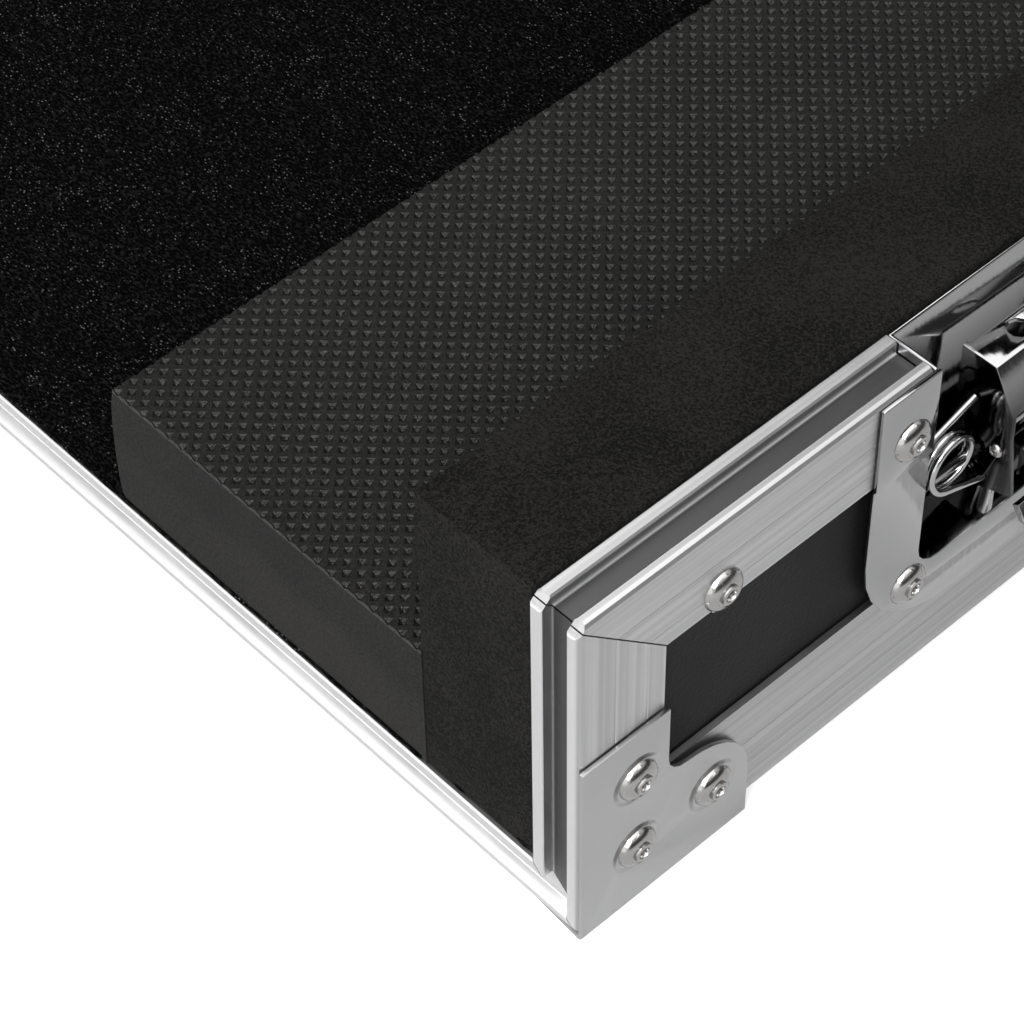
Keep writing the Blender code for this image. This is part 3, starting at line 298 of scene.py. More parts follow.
def satin_aluminium(name, along, lines=(), axis="Z", tone=1.0, groove=None, lean=None, nose_highlight=None):
    """Anodised extrusion: die streaks along its length and the fine lines scribed in its legs. A groove's
    floor gets painted shade, front faces get a painted highlight, and a lip may lean to the front under a
    painted highlight."""
    low = tuple(v * tone for v in (0.46, 0.46, 0.464))
    high = tuple(v * tone for v in (0.62, 0.62, 0.624))
    recipe = Recipe(name, high, 1.0, 0.38)
    streak = {"X": (4, 700, 700), "Y": (700, 4, 700), "Z": (700, 700, 4)}[along]
    die = recipe.grain(1.0, 2.0, recipe.stretched(streak))
    cloud = recipe.grain(60.0, 4.0)
    height = recipe.spread(die, 0.3, 0.7, 0.0, 0.12)
    for place in lines:
        mark = recipe.line(recipe.part(axis), place, 0.00028)
        height = recipe.sum(height, mark, "SUBTRACT")
    recipe.tint(recipe.sum(recipe.spread(die, 0.35, 0.65, 0.1, 0.9), recipe.spread(cloud, 0.3, 0.7, 0.8, 1.1),
                           "MULTIPLY"), low, high)
    if groove:
        across, span, deep, low_deep, high_deep = groove
        place = recipe.part(across)
        if across == "X":
            place = recipe.unsigned(place)
        floor = recipe.inside(place, *span)
        floor = recipe.sum(floor, recipe.inside(recipe.part(deep), low_deep, high_deep), "MULTIPLY")
        # painted shade: the groove's floor is darkened where shade falls in the recess
        recipe.over(floor, GROOVE_FLOOR_SHADE)
    if nose_highlight:
        # painted highlight: the front faces of the noses are lightened where the highlight falls
        recipe.over(recipe.inside(recipe.part("Y"), FRONT - 0.001, FRONT + nose_highlight), NOSE_HIGHLIGHT_TONE)
    if lean:
        low, high, depth = lean
        lip = recipe.inside(recipe.part("Z"), low, high)
        slope = recipe.spread(recipe.part("Y"), FRONT, FRONT + depth, 0.0, 7.0)
        ridges = recipe.sum(recipe.sum(recipe.part("Y"), 14000.0, "MULTIPLY"), 0.0, "SINE")
        slope = recipe.sum(slope, recipe.sum(ridges, 0.02, "MULTIPLY"), "ADD")
        # painted highlight: the lip's top is lightened to a white band, alongside the bump that leans it to
        # the bright ceiling
        recipe.over(lip, LIP_HIGHLIGHT_TONE)
        height = recipe.sum(height, recipe.sum(lip, slope, "MULTIPLY"), "ADD")
    recipe.dull(recipe.spread(cloud, 0.3, 0.7, 0.33, 0.43))
    recipe.relief(height, 0.00012)
    return recipe.material


def bright_metal(name, colour, roughness, dimples=(), side=1, scuffs=0.02, hollow=None):
    """Plated sheet: a soft polish with faint handling marks; dimples are pressed round the rivets, and painted
    shade darkens the deep, low part of a recess."""
    recipe = Recipe(name, colour, 1.0, roughness)
    cloud = recipe.grain(45.0, 4.0)
    scuff = recipe.grain(1.0, 3.0, recipe.stretched((180, 900, 240)))
    wear = recipe.sum(cloud, scuff, "MULTIPLY") if scuffs else cloud
    recipe.dull(recipe.spread(wear, 0.15, 0.4 if scuffs else 0.9, roughness * 0.8, roughness * 1.5))
    recipe.tint(recipe.spread(cloud, 0.3, 0.7, 0.0, 1.0), tuple(v * 0.93 for v in colour), colour)
    if hollow:
        out, low, high = hollow
        deep = recipe.spread(recipe.unsigned(recipe.part("X")), WALL + out - 0.0012, WALL + out, 1.0, 0.0)
        lower = recipe.spread(recipe.part("Z"), FOOT + low, FOOT + high, 1.0, 0.0)
        # painted shade: the deep, low part of the recess is darkened where shade falls
        recipe.over(recipe.sum(deep, lower, "MULTIPLY"), RECESS_SHADE_TONE)
    height = recipe.spread(scuff, 0.3, 0.7, 0.0, scuffs)
    for back, up in dimples:
        node = recipe.add("ShaderNodeVectorMath", operation="DISTANCE")
        recipe.join(recipe.place, node.inputs[0])
        node.inputs[1].default_value = on_case(0.0012, back, up, side)
        press = recipe.spread(node.outputs["Value"], *DIMPLE_SLOPE, 1.0, 0.0, "SMOOTHSTEP")
        height = recipe.sum(height, press, "SUBTRACT")
    recipe.relief(height, 0.0009 if dimples else 0.0004)
    return recipe.material


def laminate_board(name):
    """Phenolic board: dark, slightly sheened, with a fine pressed grain."""
    recipe = Recipe(name, (0.018, 0.018, 0.0185), 0.0, 0.5)
    recipe.shader.inputs["Specular IOR Level"].default_value = 0.08
    fine = recipe.cells(1400.0)
    cloud = recipe.grain(25.0, 5.0)
    recipe.tint(recipe.sum(fine, cloud, "MULTIPLY"), (0.0090, 0.0087, 0.0088), (0.0172, 0.0168, 0.0171))
    recipe.dull(recipe.spread(cloud, 0.3, 0.7, 0.42, 0.56))
    recipe.relief(fine, 0.00006)
    return recipe.material


def closed_cell_foam(name, seam=None, layer=None, pits=None, tone=1.0):
    """Cut polyethylene foam: open cells on the cut faces, with glue seams and layers where they show.
    Pits pressed hot in a top have a slight skin, and painted shade darkens their bottom."""
    recipe = Recipe(name, (0.034, 0.032, 0.029), 0.0, 0.92)
    cell = recipe.cells(2600.0)
    fine = recipe.grain(1700.0, 3.0)
    cloud = recipe.grain(38.0, 4.0)
    open_cells = recipe.spread(recipe.grain(1500.0, 2.0), 0.36, 0.64, -0.16, 0.2)
    mixed = recipe.sum(recipe.sum(fine, cell, "MULTIPLY"), recipe.spread(cloud, 0.3, 0.7, -0.1, 0.12), "ADD")
    mixed = recipe.sum(mixed, open_cells, "ADD")
    if layer is not None:
        under = recipe.spread(recipe.part("Z"), layer + 0.004, layer - 0.002, -0.06, 0.1)
        mixed = recipe.sum(mixed, under, "ADD")
    if seam is not None:
        mark = recipe.line(recipe.part("Z"), seam, 0.0003)
        mixed = recipe.sum(mixed, recipe.sum(mark, 0.09, "MULTIPLY"), "SUBTRACT")
    low = tuple(v * tone for v in (0.0060, 0.0057, 0.0052))
    high = tuple(v * tone for v in (0.062, 0.0595, 0.0545))
    recipe.tint(recipe.spread(mixed, 0.10, 0.50, 0.0, 1.0), low, high)
    if pits:
        low, high = pits
        height = recipe.part("Z")
        deep = recipe.inside(height, low - 0.0001, low + (high - low) * 0.4, 0.00012)
        # painted shade: the lower part of each pit is darkened where shade falls
        recipe.over(recipe.sum(deep, 0.6, "MULTIPLY"), (0.003, 0.0029, 0.0027))
        pressed = recipe.inside(height, low - 0.0001, high - 0.00008, 0.00003)
        recipe.dull(recipe.spread(pressed, 0.0, 1.0, 1.0, 0.42))
    recipe.shader.inputs["Specular IOR Level"].default_value = 0.42 if pits else 0.15
    recipe.relief(recipe.sum(recipe.sum(cell, fine, "ADD"), open_cells, "ADD"), 0.00016 if pits else 0.00025)
    return recipe.material


def needle_felt(name):
    """Short black needle felt with stray pale fibres lying on it."""
    recipe = Recipe(name, (0.006, 0.006, 0.006), 0.0, 0.95)
    nap = recipe.grain(1500.0, 4.0)
    lint = recipe.cells(900.0, recipe.stretched((1.0, 2.4, 1.0)))
    stray = recipe.cells(1.0, recipe.stretched((800, 1300, 900)))
    fibre = recipe.spread(stray, 0.24, 0.10, 0.0, 1.0)
    fibre = recipe.sum(fibre, recipe.spread(recipe.grain(300.0, 2.0), 0.44, 0.62, 0.0, 1.0), "MULTIPLY")
    body = recipe.spread(recipe.sum(nap, lint, "MULTIPLY"), 0.22, 0.5, 0.0, 0.07)
    recipe.tint(recipe.sum(body, fibre, "ADD"), (0.0005, 0.0005, 0.0005), (0.30, 0.30, 0.30))
    recipe.shader.inputs["Specular IOR Level"].default_value = 0.03
    recipe.relief(recipe.sum(nap, lint, "SUBTRACT"), 0.0005)
    return recipe.material


def grip_rubber(name):
    """Moulded grip: matt, with a fine grain."""
    recipe = Recipe(name, (0.02, 0.02, 0.021), 0.0, 0.55)
    cloud = recipe.grain(300.0, 3.0)
    recipe.tint(cloud, (0.014, 0.014, 0.015), (0.028, 0.028, 0.03))
    recipe.dull(recipe.spread(cloud, 0.3, 0.7, 0.48, 0.64))
    recipe.relief(recipe.cells(1600.0), 0.00012)
    return recipe.material


PLATE_RIVETS = ((0.0144, 0.0378), (0.0347, 0.0169), (0.0145, 0.0164))
LINES_IN = (0.0095, 0.0175)
LEG_LINES = [FOOT + TRAY_H - reach for reach in LINES_IN]
POST_LINES = [FRONT + reach for reach in LINES_IN]
ANGLE_LINES = [FOOT + reach for reach in (0.0115, 0.0188)]
GROOVE_DEEP, GROOVE_SHALLOW = 0.0060, 0.0022
TOP_FLOOR = ("Z", FOOT + TRAY_H - GROOVE_DEEP, FOOT + TRAY_H - GROOVE_SHALLOW)
RAIL_GROOVE = ("X", GROOVE_SIDE, *TOP_FLOOR)
POST_GROOVE = ("X", GROOVE_SIDE, "Y", FRONT + GROOVE_SHALLOW, FRONT + GROOVE_DEEP)
CROSS_GROOVE = ("Y", GROOVE_REAR, *TOP_FLOOR)
NOSE_HIGHLIGHT_DEPTH = 0.0003
SILL_LIP = (FOOT + 0.0026, FOOT + 0.0036, 0.0028)
rail_metal = satin_aluminium("rail_aluminium", "Y", LEG_LINES, groove=RAIL_GROOVE)
post_metal = satin_aluminium("post_aluminium", "Z", POST_LINES, "Y", groove=POST_GROOVE, nose_highlight=NOSE_HIGHLIGHT_DEPTH)
sill_metal = satin_aluminium("sill_aluminium", "X", lean=SILL_LIP, nose_highlight=NOSE_HIGHLIGHT_DEPTH)
angle_metal = satin_aluminium("angle_aluminium", "Y", ANGLE_LINES, "Z", 0.82)
rear_metal = satin_aluminium("cross_aluminium", "X", LEG_LINES, groove=CROSS_GROOVE)
lid_metal = satin_aluminium("lid_aluminium", "Z")
chrome = bright_metal("latch_chrome", (0.50, 0.50, 0.505), 0.09)
plated = bright_metal("nickel_plate", (0.54, 0.54, 0.545), 0.24)
pan_chrome = bright_metal("pan_chrome", (0.42, 0.42, 0.424), 0.10, hollow=(0.0, 0.066, 0.085))
hook_chrome = bright_metal("hook_chrome", (0.50, 0.50, 0.505), 0.09, hollow=(0.014, 0.068, 0.082))
PLATE_TONE = (0.51, 0.51, 0.514)
plate_right = bright_metal("corner_plate_nickel_right", PLATE_TONE, 0.3, PLATE_RIVETS, 1, 0.0)
plate_left = bright_metal("corner_plate_nickel_left", PLATE_TONE, 0.3, PLATE_RIVETS, -1, 0.0)
board = laminate_board("black_laminate")
rubber = grip_rubber("grip_rubber")
RAIL_TOP = 0.0472
PIT_DEPTH = 0.0010
RAIL_PITS = (FOOT + RAIL_TOP - PIT_DEPTH, FOOT + RAIL_TOP)
block_foam = closed_cell_foam("block_foam", seam=FOOT + RAIL_TOP, tone=0.42)
rail_foam = closed_cell_foam("rail_foam", layer=FOOT + 0.030, pits=RAIL_PITS, tone=0.36)
lid_foam = closed_cell_foam("lid_foam")
felt = needle_felt("floor_felt")

CARRIED = {
    "side_panel": board, "rear_panel": board, "floor_panel": board, "lid_top_panel": board,
    "lid_front_panel": board, "lid_side_panel": board, "lid_rear_panel": board,
    "front_sill": sill_metal, "front_post": post_metal, "top_rail_front": rail_metal,
    "top_rail_back": rail_metal, "top_rail_rear": rear_metal, "bottom_edge_rear": rear_metal,
    "bottom_edge": angle_metal, "rear_corner_edge": post_metal, "lid_tongue_front": lid_metal,
    "lid_tongue_back": lid_metal, "lid_edge_frame": lid_metal, "handle_bail": rubber}


def carried_finish(node):
    plain = node.replace("_right", "").replace("_left", "")
    return CARRIED.get(node) or CARRIED.get(plain)


nodes = frame["nodes"]
for node in nodes:
    finish = carried_finish(node)
    if finish:
        piece = bpy.data.objects[node]
        piece.data.materials.clear()
        piece.data.materials.append(finish)


# Sheet-metal pieces keep the CAD form, with their edges rounded as pressing leaves them

PLATE_LIP = 0.0012


def eased(node, body, finish, material, width):
    source = bpy.data.objects[node]
    piece = another(source, node + "_eased", source.matrix_world.copy())
    edit(piece)
    bpy.ops.mesh.select_all(action="SELECT")
    bpy.ops.mesh.remove_doubles(threshold=0.00001)
    bpy.ops.mesh.dissolve_limited(angle_limit=radians(1.5))
    done(piece)
    work(piece, "BEVEL", width=width, segments=2, limit_method="ANGLE", angle_limit=radians(35),
         use_clamp_overlap=True, harden_normals=False)
    smooth(piece, 40)
    return fit(piece, body, finish, material, node)


for side, plate_metal in (("right", plate_right), ("left", plate_left)):
    plate = eased("corner_plate_" + side, "tray", "plated", plate_metal, 0.0003)
    edit(plate)
    pick(plate, lambda item: (item.co.z < FOOT and item.co.y < FRONT + PLATE_LIP
                              and abs(item.co.x) < WALL - 0.003))
    bpy.ops.transform.translate(value=(0, PLATE_LIP, 0))
    done(plate)
    eased("rear_ball_corner_" + side, "tray", "plated", plated, 0.0003)
    eased("hinge_base_leaf_" + side, "tray", "plated", plated, 0.0002)
    eased("hinge_lid_leaf_" + side, "lid", "plated", plated, 0.0002)
    eased("lid_ball_corner_rear_" + side, "lid", "plated", plated, 0.0003)
    eased("lid_ball_corner_front_" + side, "lid", "plated", plated, 0.0003)
    eased("lid_keeper_dish_" + side, "lid", "chrome", chrome, 0.0003)
    eased("latch_dish_" + side, "tray", "chrome", pan_chrome, 0.0005)
    eased("latch_carriage_" + side, "latch_carriage_" + side, "plated", pan_chrome, 0.0002)
    eased("latch_hook_" + side, "latch_hook_" + side, "chrome", hook_chrome, 0.00035)
    eased("latch_spindle_" + side, "latch_spindle_" + side, "plated", pan_chrome, 0.0002)
    eased("latch_wing_" + side, "latch_wing_" + side, "chrome", chrome, 0.0004)
eased("handle_dish", "lid", "chrome", chrome, 0.0003)


# Rivets: one stepped head with its mandrel hole, turned once and set wherever the CAD has a rivet

RIVET_TURN = ((0.0011, 0.0002), (0.0012, 0.0019), (0.0014, 0.00228), (0.0019, 0.00232), (0.0021, 0.00222),
              (0.0022, 0.00164), (0.0027, 0.00166), (0.0029, 0.00182), (0.0036, 0.0015), (0.0042, 0.00104),
              (0.0046, 0.0005), (0.0048, -0.0003))


def rivet_head():
    lay_tools_down()
    radius, height = RIVET_TURN[0]
    bpy.ops.mesh.primitive_circle_add(vertices=28, radius=radius, fill_type="NGON", location=(0, 0, height))
    piece = named("rivet_head")
    edit(piece, "EDGE")
    bpy.ops.mesh.select_non_manifold()
    for reach, rise in RIVET_TURN[1:]:
        bpy.ops.mesh.extrude_region_move(TRANSFORM_OT_translate={"value": (0, 0, rise - height)})
        bpy.ops.transform.resize(value=(reach / radius, reach / radius, 1), center_override=(0, 0, 0))
        radius = reach
        height = rise
    bpy.ops.mesh.select_all(action="SELECT")
    bpy.ops.mesh.normals_make_consistent(inside=False)
    done(piece)
    return smooth(piece, 32)


dome = rivet_head()


def rivets(name, body, places, direction):
    turn = Vector((0, 0, 1)).rotation_difference(Vector(direction)).to_matrix().to_4x4()
    heads = [another(dome, name, Matrix.Translation(place) @ turn) for place in places]
    return fit(gather(name, heads), body, "plated", rivet_metal)


rivet_metal = bright_metal("rivet_nickel", (0.45, 0.44, 0.43), 0.2)
SIDE_BACKS = [DEPTH * share for share in (0.55, 0.72, 0.89)]
REAR_SHARES = (-0.82, 0, 0.82)
HINGE_OUT = 0.170
HINGE_HOLE = 0.0162
for side, way in (("right", 1), ("left", -1)):
    out = (way, 0, 0)
    rivets("rail_rivet_front_" + side, "tray", [on_case(0, 0.0361, TRAY_H - 0.018, way)], out)
    rivets("rail_rivets_" + side, "tray", [on_case(0, back, TRAY_H - 0.018, way) for back in SIDE_BACKS], out)
    rivets("corner_plate_rivets_" + side, "tray",
           [on_case(0.0012, back, up, way) for back, up in PLATE_RIVETS], out)
    rivets("latch_dish_rivets_" + side, "tray",
           [on_case(0.0012, LATCH_BACK + s * 0.0433, TRAY_H - 0.0141, way) for s in (-1, 1)]
           + [on_case(0.0006, LATCH_BACK + s * 0.039, 0.032, way) for s in (-1, 1)], out)
    pin_end = another(dome, "hook_pin_end_" + side,
                      Matrix.Translation(on_case(0.003, LATCH_BACK - 0.0196, 0.0577, way))
                      @ Matrix.Rotation(radians(90), 4, "X") @ Matrix.Scale(0.33, 4))
    fit(pin_end, "latch_hook_" + side, "plated", rivet_metal)
    rivets("lid_rivets_" + side, "lid",
           [on_open_lid(0, back, TRAY_H + 0.0183, way) for back in SIDE_BACKS], out)
    rivets("keeper_dish_rivets_" + side, "lid",
           [on_open_lid(0.0012, LATCH_BACK + s * 0.0433, TRAY_H + 0.0144, way) for s in (-1, 1)]
           + [on_open_lid(0.0006, LATCH_BACK + s * 0.039, TRAY_H + 0.0418, way) for s in (-1, 1)], out)
    rivets("hinge_base_rivets_" + side, "tray",
           [on_case(way * HINGE_OUT + s * HINGE_HOLE - WALL, 0.4815, HINGE_UP - 0.01245) for s in (-1, 1)],
           (0, 1, 0))
    rivets("hinge_lid_rivets_" + side, "lid",
           [on_open_lid(way * HINGE_OUT + s * HINGE_HOLE - WALL, 0.4815, HINGE_UP + 0.01245) for s in (-1, 1)],
           (0, 0, -1))
rivets("rear_rail_rivets", "tray",
       [on_case(share * WALL - WALL, DEPTH, TRAY_H - 0.018) for share in REAR_SHARES], (0, 1, 0))
rivets("lid_rear_rivets", "lid",
       [on_open_lid(share * WALL - WALL, DEPTH, TRAY_H + 0.0183) for share in REAR_SHARES], (0, 0, -1))
scrap(dome)


# Latch springs: wound wire, with a leg from each end of the coil to the hook's cheek

COIL_STEPS = 90


def latch_spring(side, way):
    wire, radius, pitch = 0.00075, 0.0061, 0.00175
    centre_back, centre_up, front_out = 0.0984, 0.0588, 0.0009
    cheek = LATCH_BACK - 0.0198
    low_slope, high_slope = radians(-21), radians(18)

    def ring(angle, out):
        return out, centre_back + radius * cos(angle), centre_up + radius * sin(angle)

    first = low_slope - pi / 2
    last = high_slope + pi / 2 - 6 * pi
    low_leg = ring(first, front_out)
    run = cheek - low_leg[1]
    route = [(front_out, cheek, low_leg[2] + run * sin(low_slope) / cos(low_slope))]
    for i in range(COIL_STEPS + 1):
        angle = first + (last - first) * i / COIL_STEPS
        route.append(ring(angle, front_out - pitch * (first - angle) / (2 * pi)))
    high_leg = route[-1]
    run = cheek - high_leg[1]
    route.append((high_leg[0], cheek, high_leg[2] + run * sin(high_slope) / cos(high_slope)))
    wound = bpy.data.curves.new("latch_wire_" + side, "CURVE")
    wound.dimensions = "3D"
    wound.bevel_depth = wire
    wound.bevel_resolution = 3
    wound.use_fill_caps = True
    line = wound.splines.new("POLY")
    line.points.add(len(route) - 1)
    for point, (out, back, up) in zip(line.points, route):
        point.co = (*on_case(out, back, up, way), 1)
    piece = bpy.data.objects.new("latch_wire_" + side, wound)
    scene.collection.objects.link(piece)
    take(piece)
    bpy.ops.object.convert(target="MESH")
    piece = bpy.context.object
    smooth(piece, 50)
    return fit(piece, "tray", "chrome", chrome, "latch_spring_" + side)


for side, way in (("right", 1), ("left", -1)):
    latch_spring(side, way)


# Foam rails: a lattice of small pressed pits in the top sheet, and an inner face that bulges a little
PIT_PITCH = 0.00405
PIT_SIDE = 0.0020
RAIL_INNER = -0.1347
RAIL_OUTER = -0.0428
RAIL_FRONT = 0.0008
RAIL_REAR = 0.4672
LATTICE_OUT = -0.0929
LATTICE_BACK = 0.00116
RAIL_BULGE = ((0.0448, 0.0006), (0.0410, 0.0013), (0.0345, 0.0019), (0.0280, 0.0021), (0.0205, 0.0021),
              (0.0155, 0.0018), (0.0135, 0.0009), (0.0120, 0.0))


def foam_rail():
    cell = PIT_PITCH / sqrt(2)
    count = 2 * round((RAIL_REAR - RAIL_INNER) / sqrt(2) / cell / 2) + 9
    shift = PIT_PITCH * round((RAIL_REAR / 2 - LATTICE_BACK) / PIT_PITCH)
    centre = on_case(LATTICE_OUT, LATTICE_BACK + shift, RAIL_TOP)
    lay_tools_down()
    bpy.ops.mesh.primitive_grid_add(x_subdivisions=count, y_subdivisions=count, size=count * cell,
                                    location=centre, rotation=(0, 0, radians(45)))
    piece = named("foam_rail_right_pitted")
    edit(piece, "FACE")
    bpy.ops.mesh.select_all(action="SELECT")
    bpy.ops.mesh.inset(thickness=(cell - PIT_SIDE) / 2, use_individual=True)
    bpy.ops.mesh.poke(offset=-PIT_DEPTH)
    low = on_case(RAIL_INNER, RAIL_FRONT, 0)
    high = on_case(RAIL_OUTER, RAIL_REAR, 0)
    for place, normal in ((low, (-1, 0, 0)), (low, (0, -1, 0)), (high, (1, 0, 0)), (high, (0, 1, 0))):
        bpy.ops.mesh.select_all(action="SELECT")
        bpy.ops.mesh.bisect(plane_co=place, plane_no=normal, clear_outer=True)
    bpy.ops.mesh.select_all(action="DESELECT")
    bpy.ops.mesh.select_mode(type="EDGE")
    bpy.ops.mesh.select_non_manifold()
    top = RAIL_TOP
    for height, bulge in RAIL_BULGE:
        bpy.ops.mesh.extrude_region_move(TRANSFORM_OT_translate={"value": (0, 0, height - top)})
        bpy.ops.transform.resize(value=(1, 1, 0), center_override=(0, 0, FOOT + height))
        top = height
    bpy.ops.mesh.edge_face_add()
    bpy.ops.mesh.select_all(action="SELECT")
    bpy.ops.mesh.normals_make_consistent(inside=False)
    bpy.ops.mesh.select_mode(type="VERT")
    for height, bulge in RAIL_BULGE:
        pick(piece, lambda item: item.co.x < low.x + 0.00001 and abs(item.co.z - FOOT - height) < 0.0002)
        bpy.ops.transform.translate(value=(-bulge, 0, 0))
    done(piece)
    foot = foam_foot(RAIL_INNER, RAIL_OUTER, "foam_rail_foot")
    piece = gather("foam_rail_right_pitted", [piece, foot])
    return smooth(piece, 25)


def foam_foot(inner, outer, name):
    low = on_case(inner, 0.0226, 0.0109)
    high = on_case(outer, RAIL_REAR, 0.0122)
    lay_tools_down()
    bpy.ops.mesh.primitive_cube_add(size=1, location=(low + high) / 2, scale=high - low)
    return named(name)


def foam_block():
    low = on_case(-0.0430, 0.0008, 0.0122)
    high = on_case(-0.0126, RAIL_REAR, 0.0925)
    lay_tools_down()
    bpy.ops.mesh.primitive_cube_add(size=1, location=(low + high) / 2, scale=high - low)
    piece = named("foam_block_right_cut")
    for axis, count in ((1, 60), (2, 10), (0, 4)):
        for i in range(1, count):
            edit(piece)
            bpy.ops.mesh.select_all(action="SELECT")
            place = Vector(low)
            place[axis] = low[axis] + (high[axis] - low[axis]) * i / count
            normal = Vector((0, 0, 0))
            normal[axis] = 1
            bpy.ops.mesh.bisect(plane_co=place, plane_no=normal)
            done(piece)
    edit(piece)
    bpy.ops.mesh.select_all(action="SELECT")
    bpy.ops.mesh.normals_make_consistent(inside=False)
    done(piece)
    work(piece, "BEVEL", width=0.0003, segments=2, limit_method="ANGLE", angle_limit=radians(60))
    cloud = bpy.data.textures.new("cut_wander", "CLOUDS")
    cloud.noise_scale = 0.03
    work(piece, "DISPLACE", texture=cloud, texture_coords="LOCAL", strength=0.0005, mid_level=0.9)
    foot = foam_foot(-0.0428, -0.0127, "foam_block_foot")
    piece = gather("foam_block_right_cut", [piece, foot])
    return smooth(piece, 45)


def both_sides(piece, base, body, finish, material, node):
    twin = another(piece, base.replace("right", "left"), OTHER_SIDE)
    fit(piece, body, finish, material, node + "_right")
    fit(twin, body, finish, material, node + "_left")
    return piece, twin


for piece in both_sides(foam_rail(), "foam_rail_right_pitted", "tray", "foam", rail_foam, "foam_rail"):
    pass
for piece in both_sides(foam_block(), "foam_block_right_cut", "tray", "foam", block_foam, "foam_block"):
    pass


# Felt floor: one sheet, laid over the sill's inner flange and down on to the board

FELT_REACH = 0.2703
FELT_DEPTH = 0.4674
FELT_CUTS = 90
FELT_FRAY = 0.00032
FELT_PEEP = 0.0006
FELT_ROUTE = ((0.004, 0.0125), (0.0085, 0.0125), (0.0123, 0.0124), (0.0145, 0.0118), (0.0185, 0.0104),
              (0.0222, 0.0096), (0.027, 0.0096), (0.10, 0.0096), (0.20, 0.0096), (0.32, 0.0096),
              (FELT_DEPTH, 0.0096))


def felt_floor():
    thick = 0.0011
    low = on_case(0, 0.0009, 0.0125)
    lay_tools_down()
    bpy.ops.mesh.primitive_cube_add(size=1, location=(0, low.y + 0.00025, low.z + thick / 2),
                                    scale=(2 * FELT_REACH, 0.0005, thick))
    piece = named("floor_felt")
    edit(piece, "FACE")
    pick(piece, lambda face: face.normal.y > 0.9, "polygons")
    here = (0.0014, 0.0125)
    for back, up in FELT_ROUTE:
        bpy.ops.mesh.extrude_region_move(
            TRANSFORM_OT_translate={"value": (0, back - here[0], up - here[1])})
        here = (back, up)
    done(piece)
    for i in range(1, 2 * FELT_CUTS):
        edit(piece)
        bpy.ops.mesh.select_all(action="SELECT")
        bpy.ops.mesh.bisect(plane_co=(FELT_REACH * (i / FELT_CUTS - 1), 0, 0), plane_no=(1, 0, 0))
        done(piece)
    edit(piece)
    bpy.ops.mesh.select_all(action="SELECT")
    bpy.ops.mesh.normals_make_consistent(inside=False)
    for turn in (2, 3, 5):
        pick(piece, lambda item: item.co.y < low.y + 0.0001 and round(item.co.x * 333) % turn == 0)
        bpy.ops.transform.translate(value=(0, FELT_FRAY, 0))
    pick(piece, lambda item: item.co.y < low.y + 0.001 and abs(item.co.x) < WALL - 0.0434)
    bpy.ops.transform.translate(value=(0, -FELT_PEEP, 0))
    done(piece)
    smooth(piece, 30)
    fit(piece, "tray", "felt", felt, "floor_lining")


felt_floor()


# Lid lining: a glued foam pad, crowned a little towards its middle

def lid_pad():
    low, high = [Vector(corner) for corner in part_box("lid_lining")]
    margin = 0.01

    def well_inside(face):
        corners = [piece.data.vertices[v].co for v in face.vertices]
        return face.normal.y < -0.9 and all(low.x + margin < corner.x < high.x - margin
                                            and low.z + margin < corner.z < high.z - margin
                                            for corner in corners)

    lay_tools_down()
    bpy.ops.mesh.primitive_cube_add(size=1, location=(low + high) / 2,
                                    scale=(high - low) - Vector((0.001, 0, 0.001)))
    piece = named("lid_pad")
    edit(piece, "FACE")
    pick(piece, lambda face: face.normal.y < -0.9, "polygons")
    bpy.ops.mesh.subdivide(number_cuts=40)
    pick(piece, well_inside, "polygons")
    bpy.ops.transform.translate(value=(0, -0.0015, 0))
    done(piece)
    work(piece, "BEVEL", width=0.0015, segments=3, limit_method="ANGLE", angle_limit=radians(60))
    smooth(piece, 45)
    fit(piece, "lid", "foam", lid_foam, "lid_lining")


lid_pad()


# Studio: a pale floor and soft light

def pale_floor():
    lay_tools_down()
    bpy.ops.mesh.primitive_plane_add(size=14, location=(0, 0, -0.0005))
    ground = named("studio_floor")
    recipe = Recipe("pale_floor", (0.86, 0.86, 0.86), 0.0, 0.9)
    recipe.tint(recipe.grain(3.0), (0.84, 0.84, 0.84), (0.88, 0.88, 0.88))
    path = recipe.add("ShaderNodeLightPath")
    mirrored = recipe.sum(path.outputs["Is Glossy Ray"], path.outputs["Is Transmission Ray"], "MAXIMUM")
    seen = recipe.sum(path.outputs["Is Camera Ray"], recipe.sum(mirrored, 0.1, "MULTIPLY"), "MAXIMUM")
    glow = recipe.add("ShaderNodeEmission")
    recipe.join(recipe.sum(seen, 0.5, "MULTIPLY"), glow.inputs["Strength"])
    both = recipe.add("ShaderNodeAddShader")
    recipe.join(recipe.shader.outputs["BSDF"], both.inputs[0])
    recipe.join(glow.outputs["Emission"], both.inputs[1])
    recipe.join(both.outputs["Shader"], recipe.tree.nodes["Material Output"].inputs["Surface"])
    ground.data.materials.append(recipe.material)


AMBIENT = 0.34
SKY_SHINE = ((0.0, 0.03), (0.40, 0.03), (0.62, 0.32), (0.80, 0.40), (0.87, 1.0), (1.0, 1.0))
SKY_GAIN = 2.4
FRONT_SHINE = (("From Min", -0.5), ("From Max", -0.7), ("To Min", 0.0), ("To Max", 1.6))


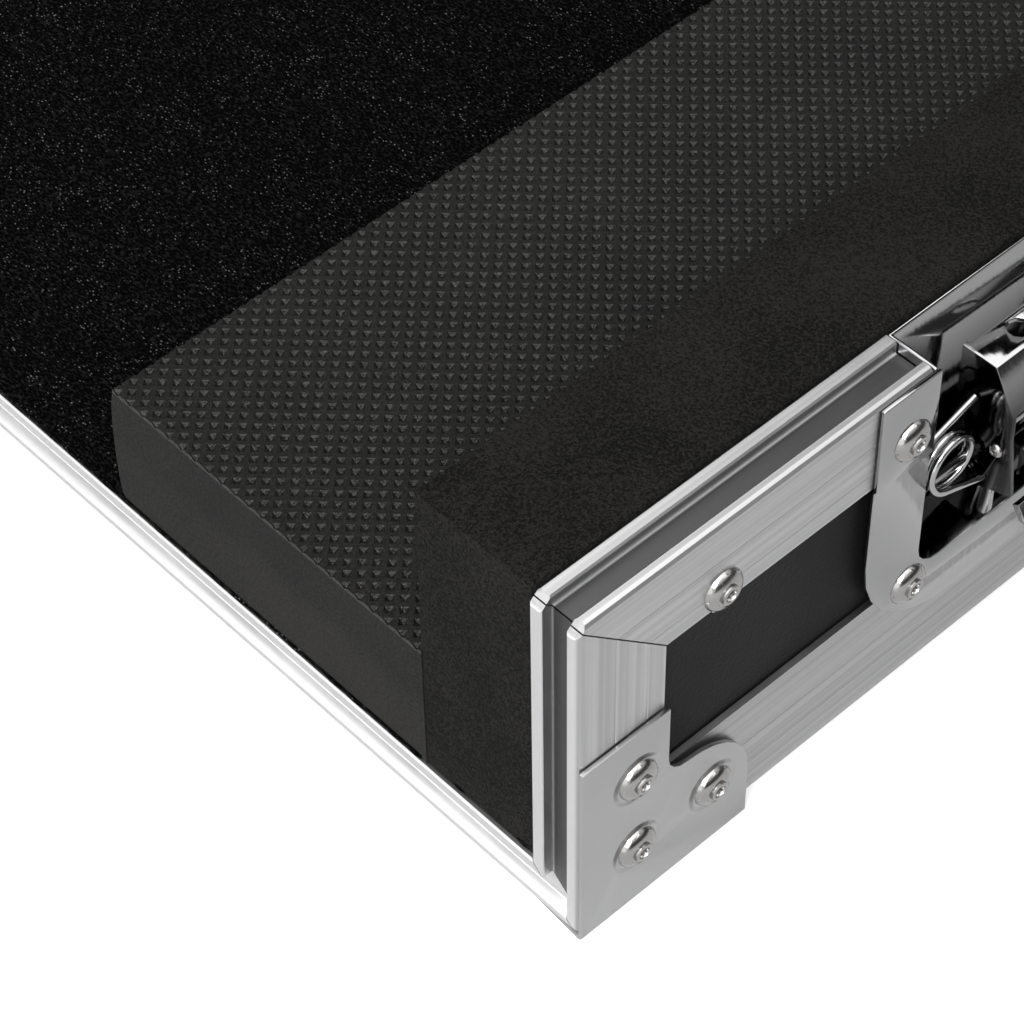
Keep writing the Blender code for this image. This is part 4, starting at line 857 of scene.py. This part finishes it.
def soft_world():
    """Even light, white behind the case. Metal mirrors a brighter ceiling and a bright screen in front."""
    world = bpy.data.worlds.new("soft_studio")
    scene.world = world
    world.use_nodes = True
    tree = world.node_tree
    back = tree.nodes["Background"]
    back.inputs["Color"].default_value = (1, 1, 1, 1)
    path = tree.nodes.new("ShaderNodeLightPath")
    sky = tree.nodes.new("ShaderNodeTexCoord")
    way = tree.nodes.new("ShaderNodeSeparateXYZ")
    tree.links.new(sky.outputs["Generated"], way.inputs["Vector"])
    shine = tree.nodes.new("ShaderNodeValToRGB")
    ramp = shine.color_ramp.elements
    for place, tone in SKY_SHINE[1:-1]:
        ramp.new(place)
    for stop, (place, tone) in zip(ramp, SKY_SHINE):
        stop.color = (tone, tone, tone, 1)
    tree.links.new(way.outputs["Z"], shine.inputs["Fac"])
    gain = tree.nodes.new("ShaderNodeMath")
    gain.operation = "MULTIPLY"
    gain.inputs[1].default_value = SKY_GAIN
    tree.links.new(shine.outputs["Color"], gain.inputs[0])
    screen = tree.nodes.new("ShaderNodeMapRange")
    for key, number in FRONT_SHINE:
        screen.inputs[key].default_value = number
    tree.links.new(way.outputs["Y"], screen.inputs["Value"])
    brighter = tree.nodes.new("ShaderNodeMath")
    brighter.operation = "MAXIMUM"
    tree.links.new(gain.outputs["Value"], brighter.inputs[0])
    tree.links.new(screen.outputs["Result"], brighter.inputs[1])
    mirrored = tree.nodes.new("ShaderNodeMix")
    mirrored.inputs["A"].default_value = AMBIENT
    tree.links.new(path.outputs["Is Glossy Ray"], mirrored.inputs["Factor"])
    tree.links.new(brighter.outputs["Value"], mirrored.inputs["B"])
    strength = tree.nodes.new("ShaderNodeMix")
    strength.inputs["B"].default_value = 1.0
    tree.links.new(mirrored.outputs["Result"], strength.inputs["A"])
    tree.links.new(path.outputs["Is Camera Ray"], strength.inputs["Factor"])
    tree.links.new(strength.outputs["Result"], back.inputs["Strength"])


LAMPS = (("key_softbox", (0.95, -1.15, 1.25), 0.6, 18.5), ("rear_softbox", (-1.5, 1.2, 1.8), 1.2, 8))
LAMP_AIM = Vector((0, -0.05, 0.1))


def soft_lamps():
    for name, place, size, power in LAMPS:
        light = bpy.data.lights.new(name, "AREA")
        light.size = size
        light.energy = power
        lamp = bpy.data.objects.new(name, light)
        scene.collection.objects.link(lamp)
        lamp.location = place
        lamp.rotation_euler = (LAMP_AIM - Vector(place)).to_track_quat("-Z", "Y").to_euler()


pale_floor()
soft_world()
soft_lamps()
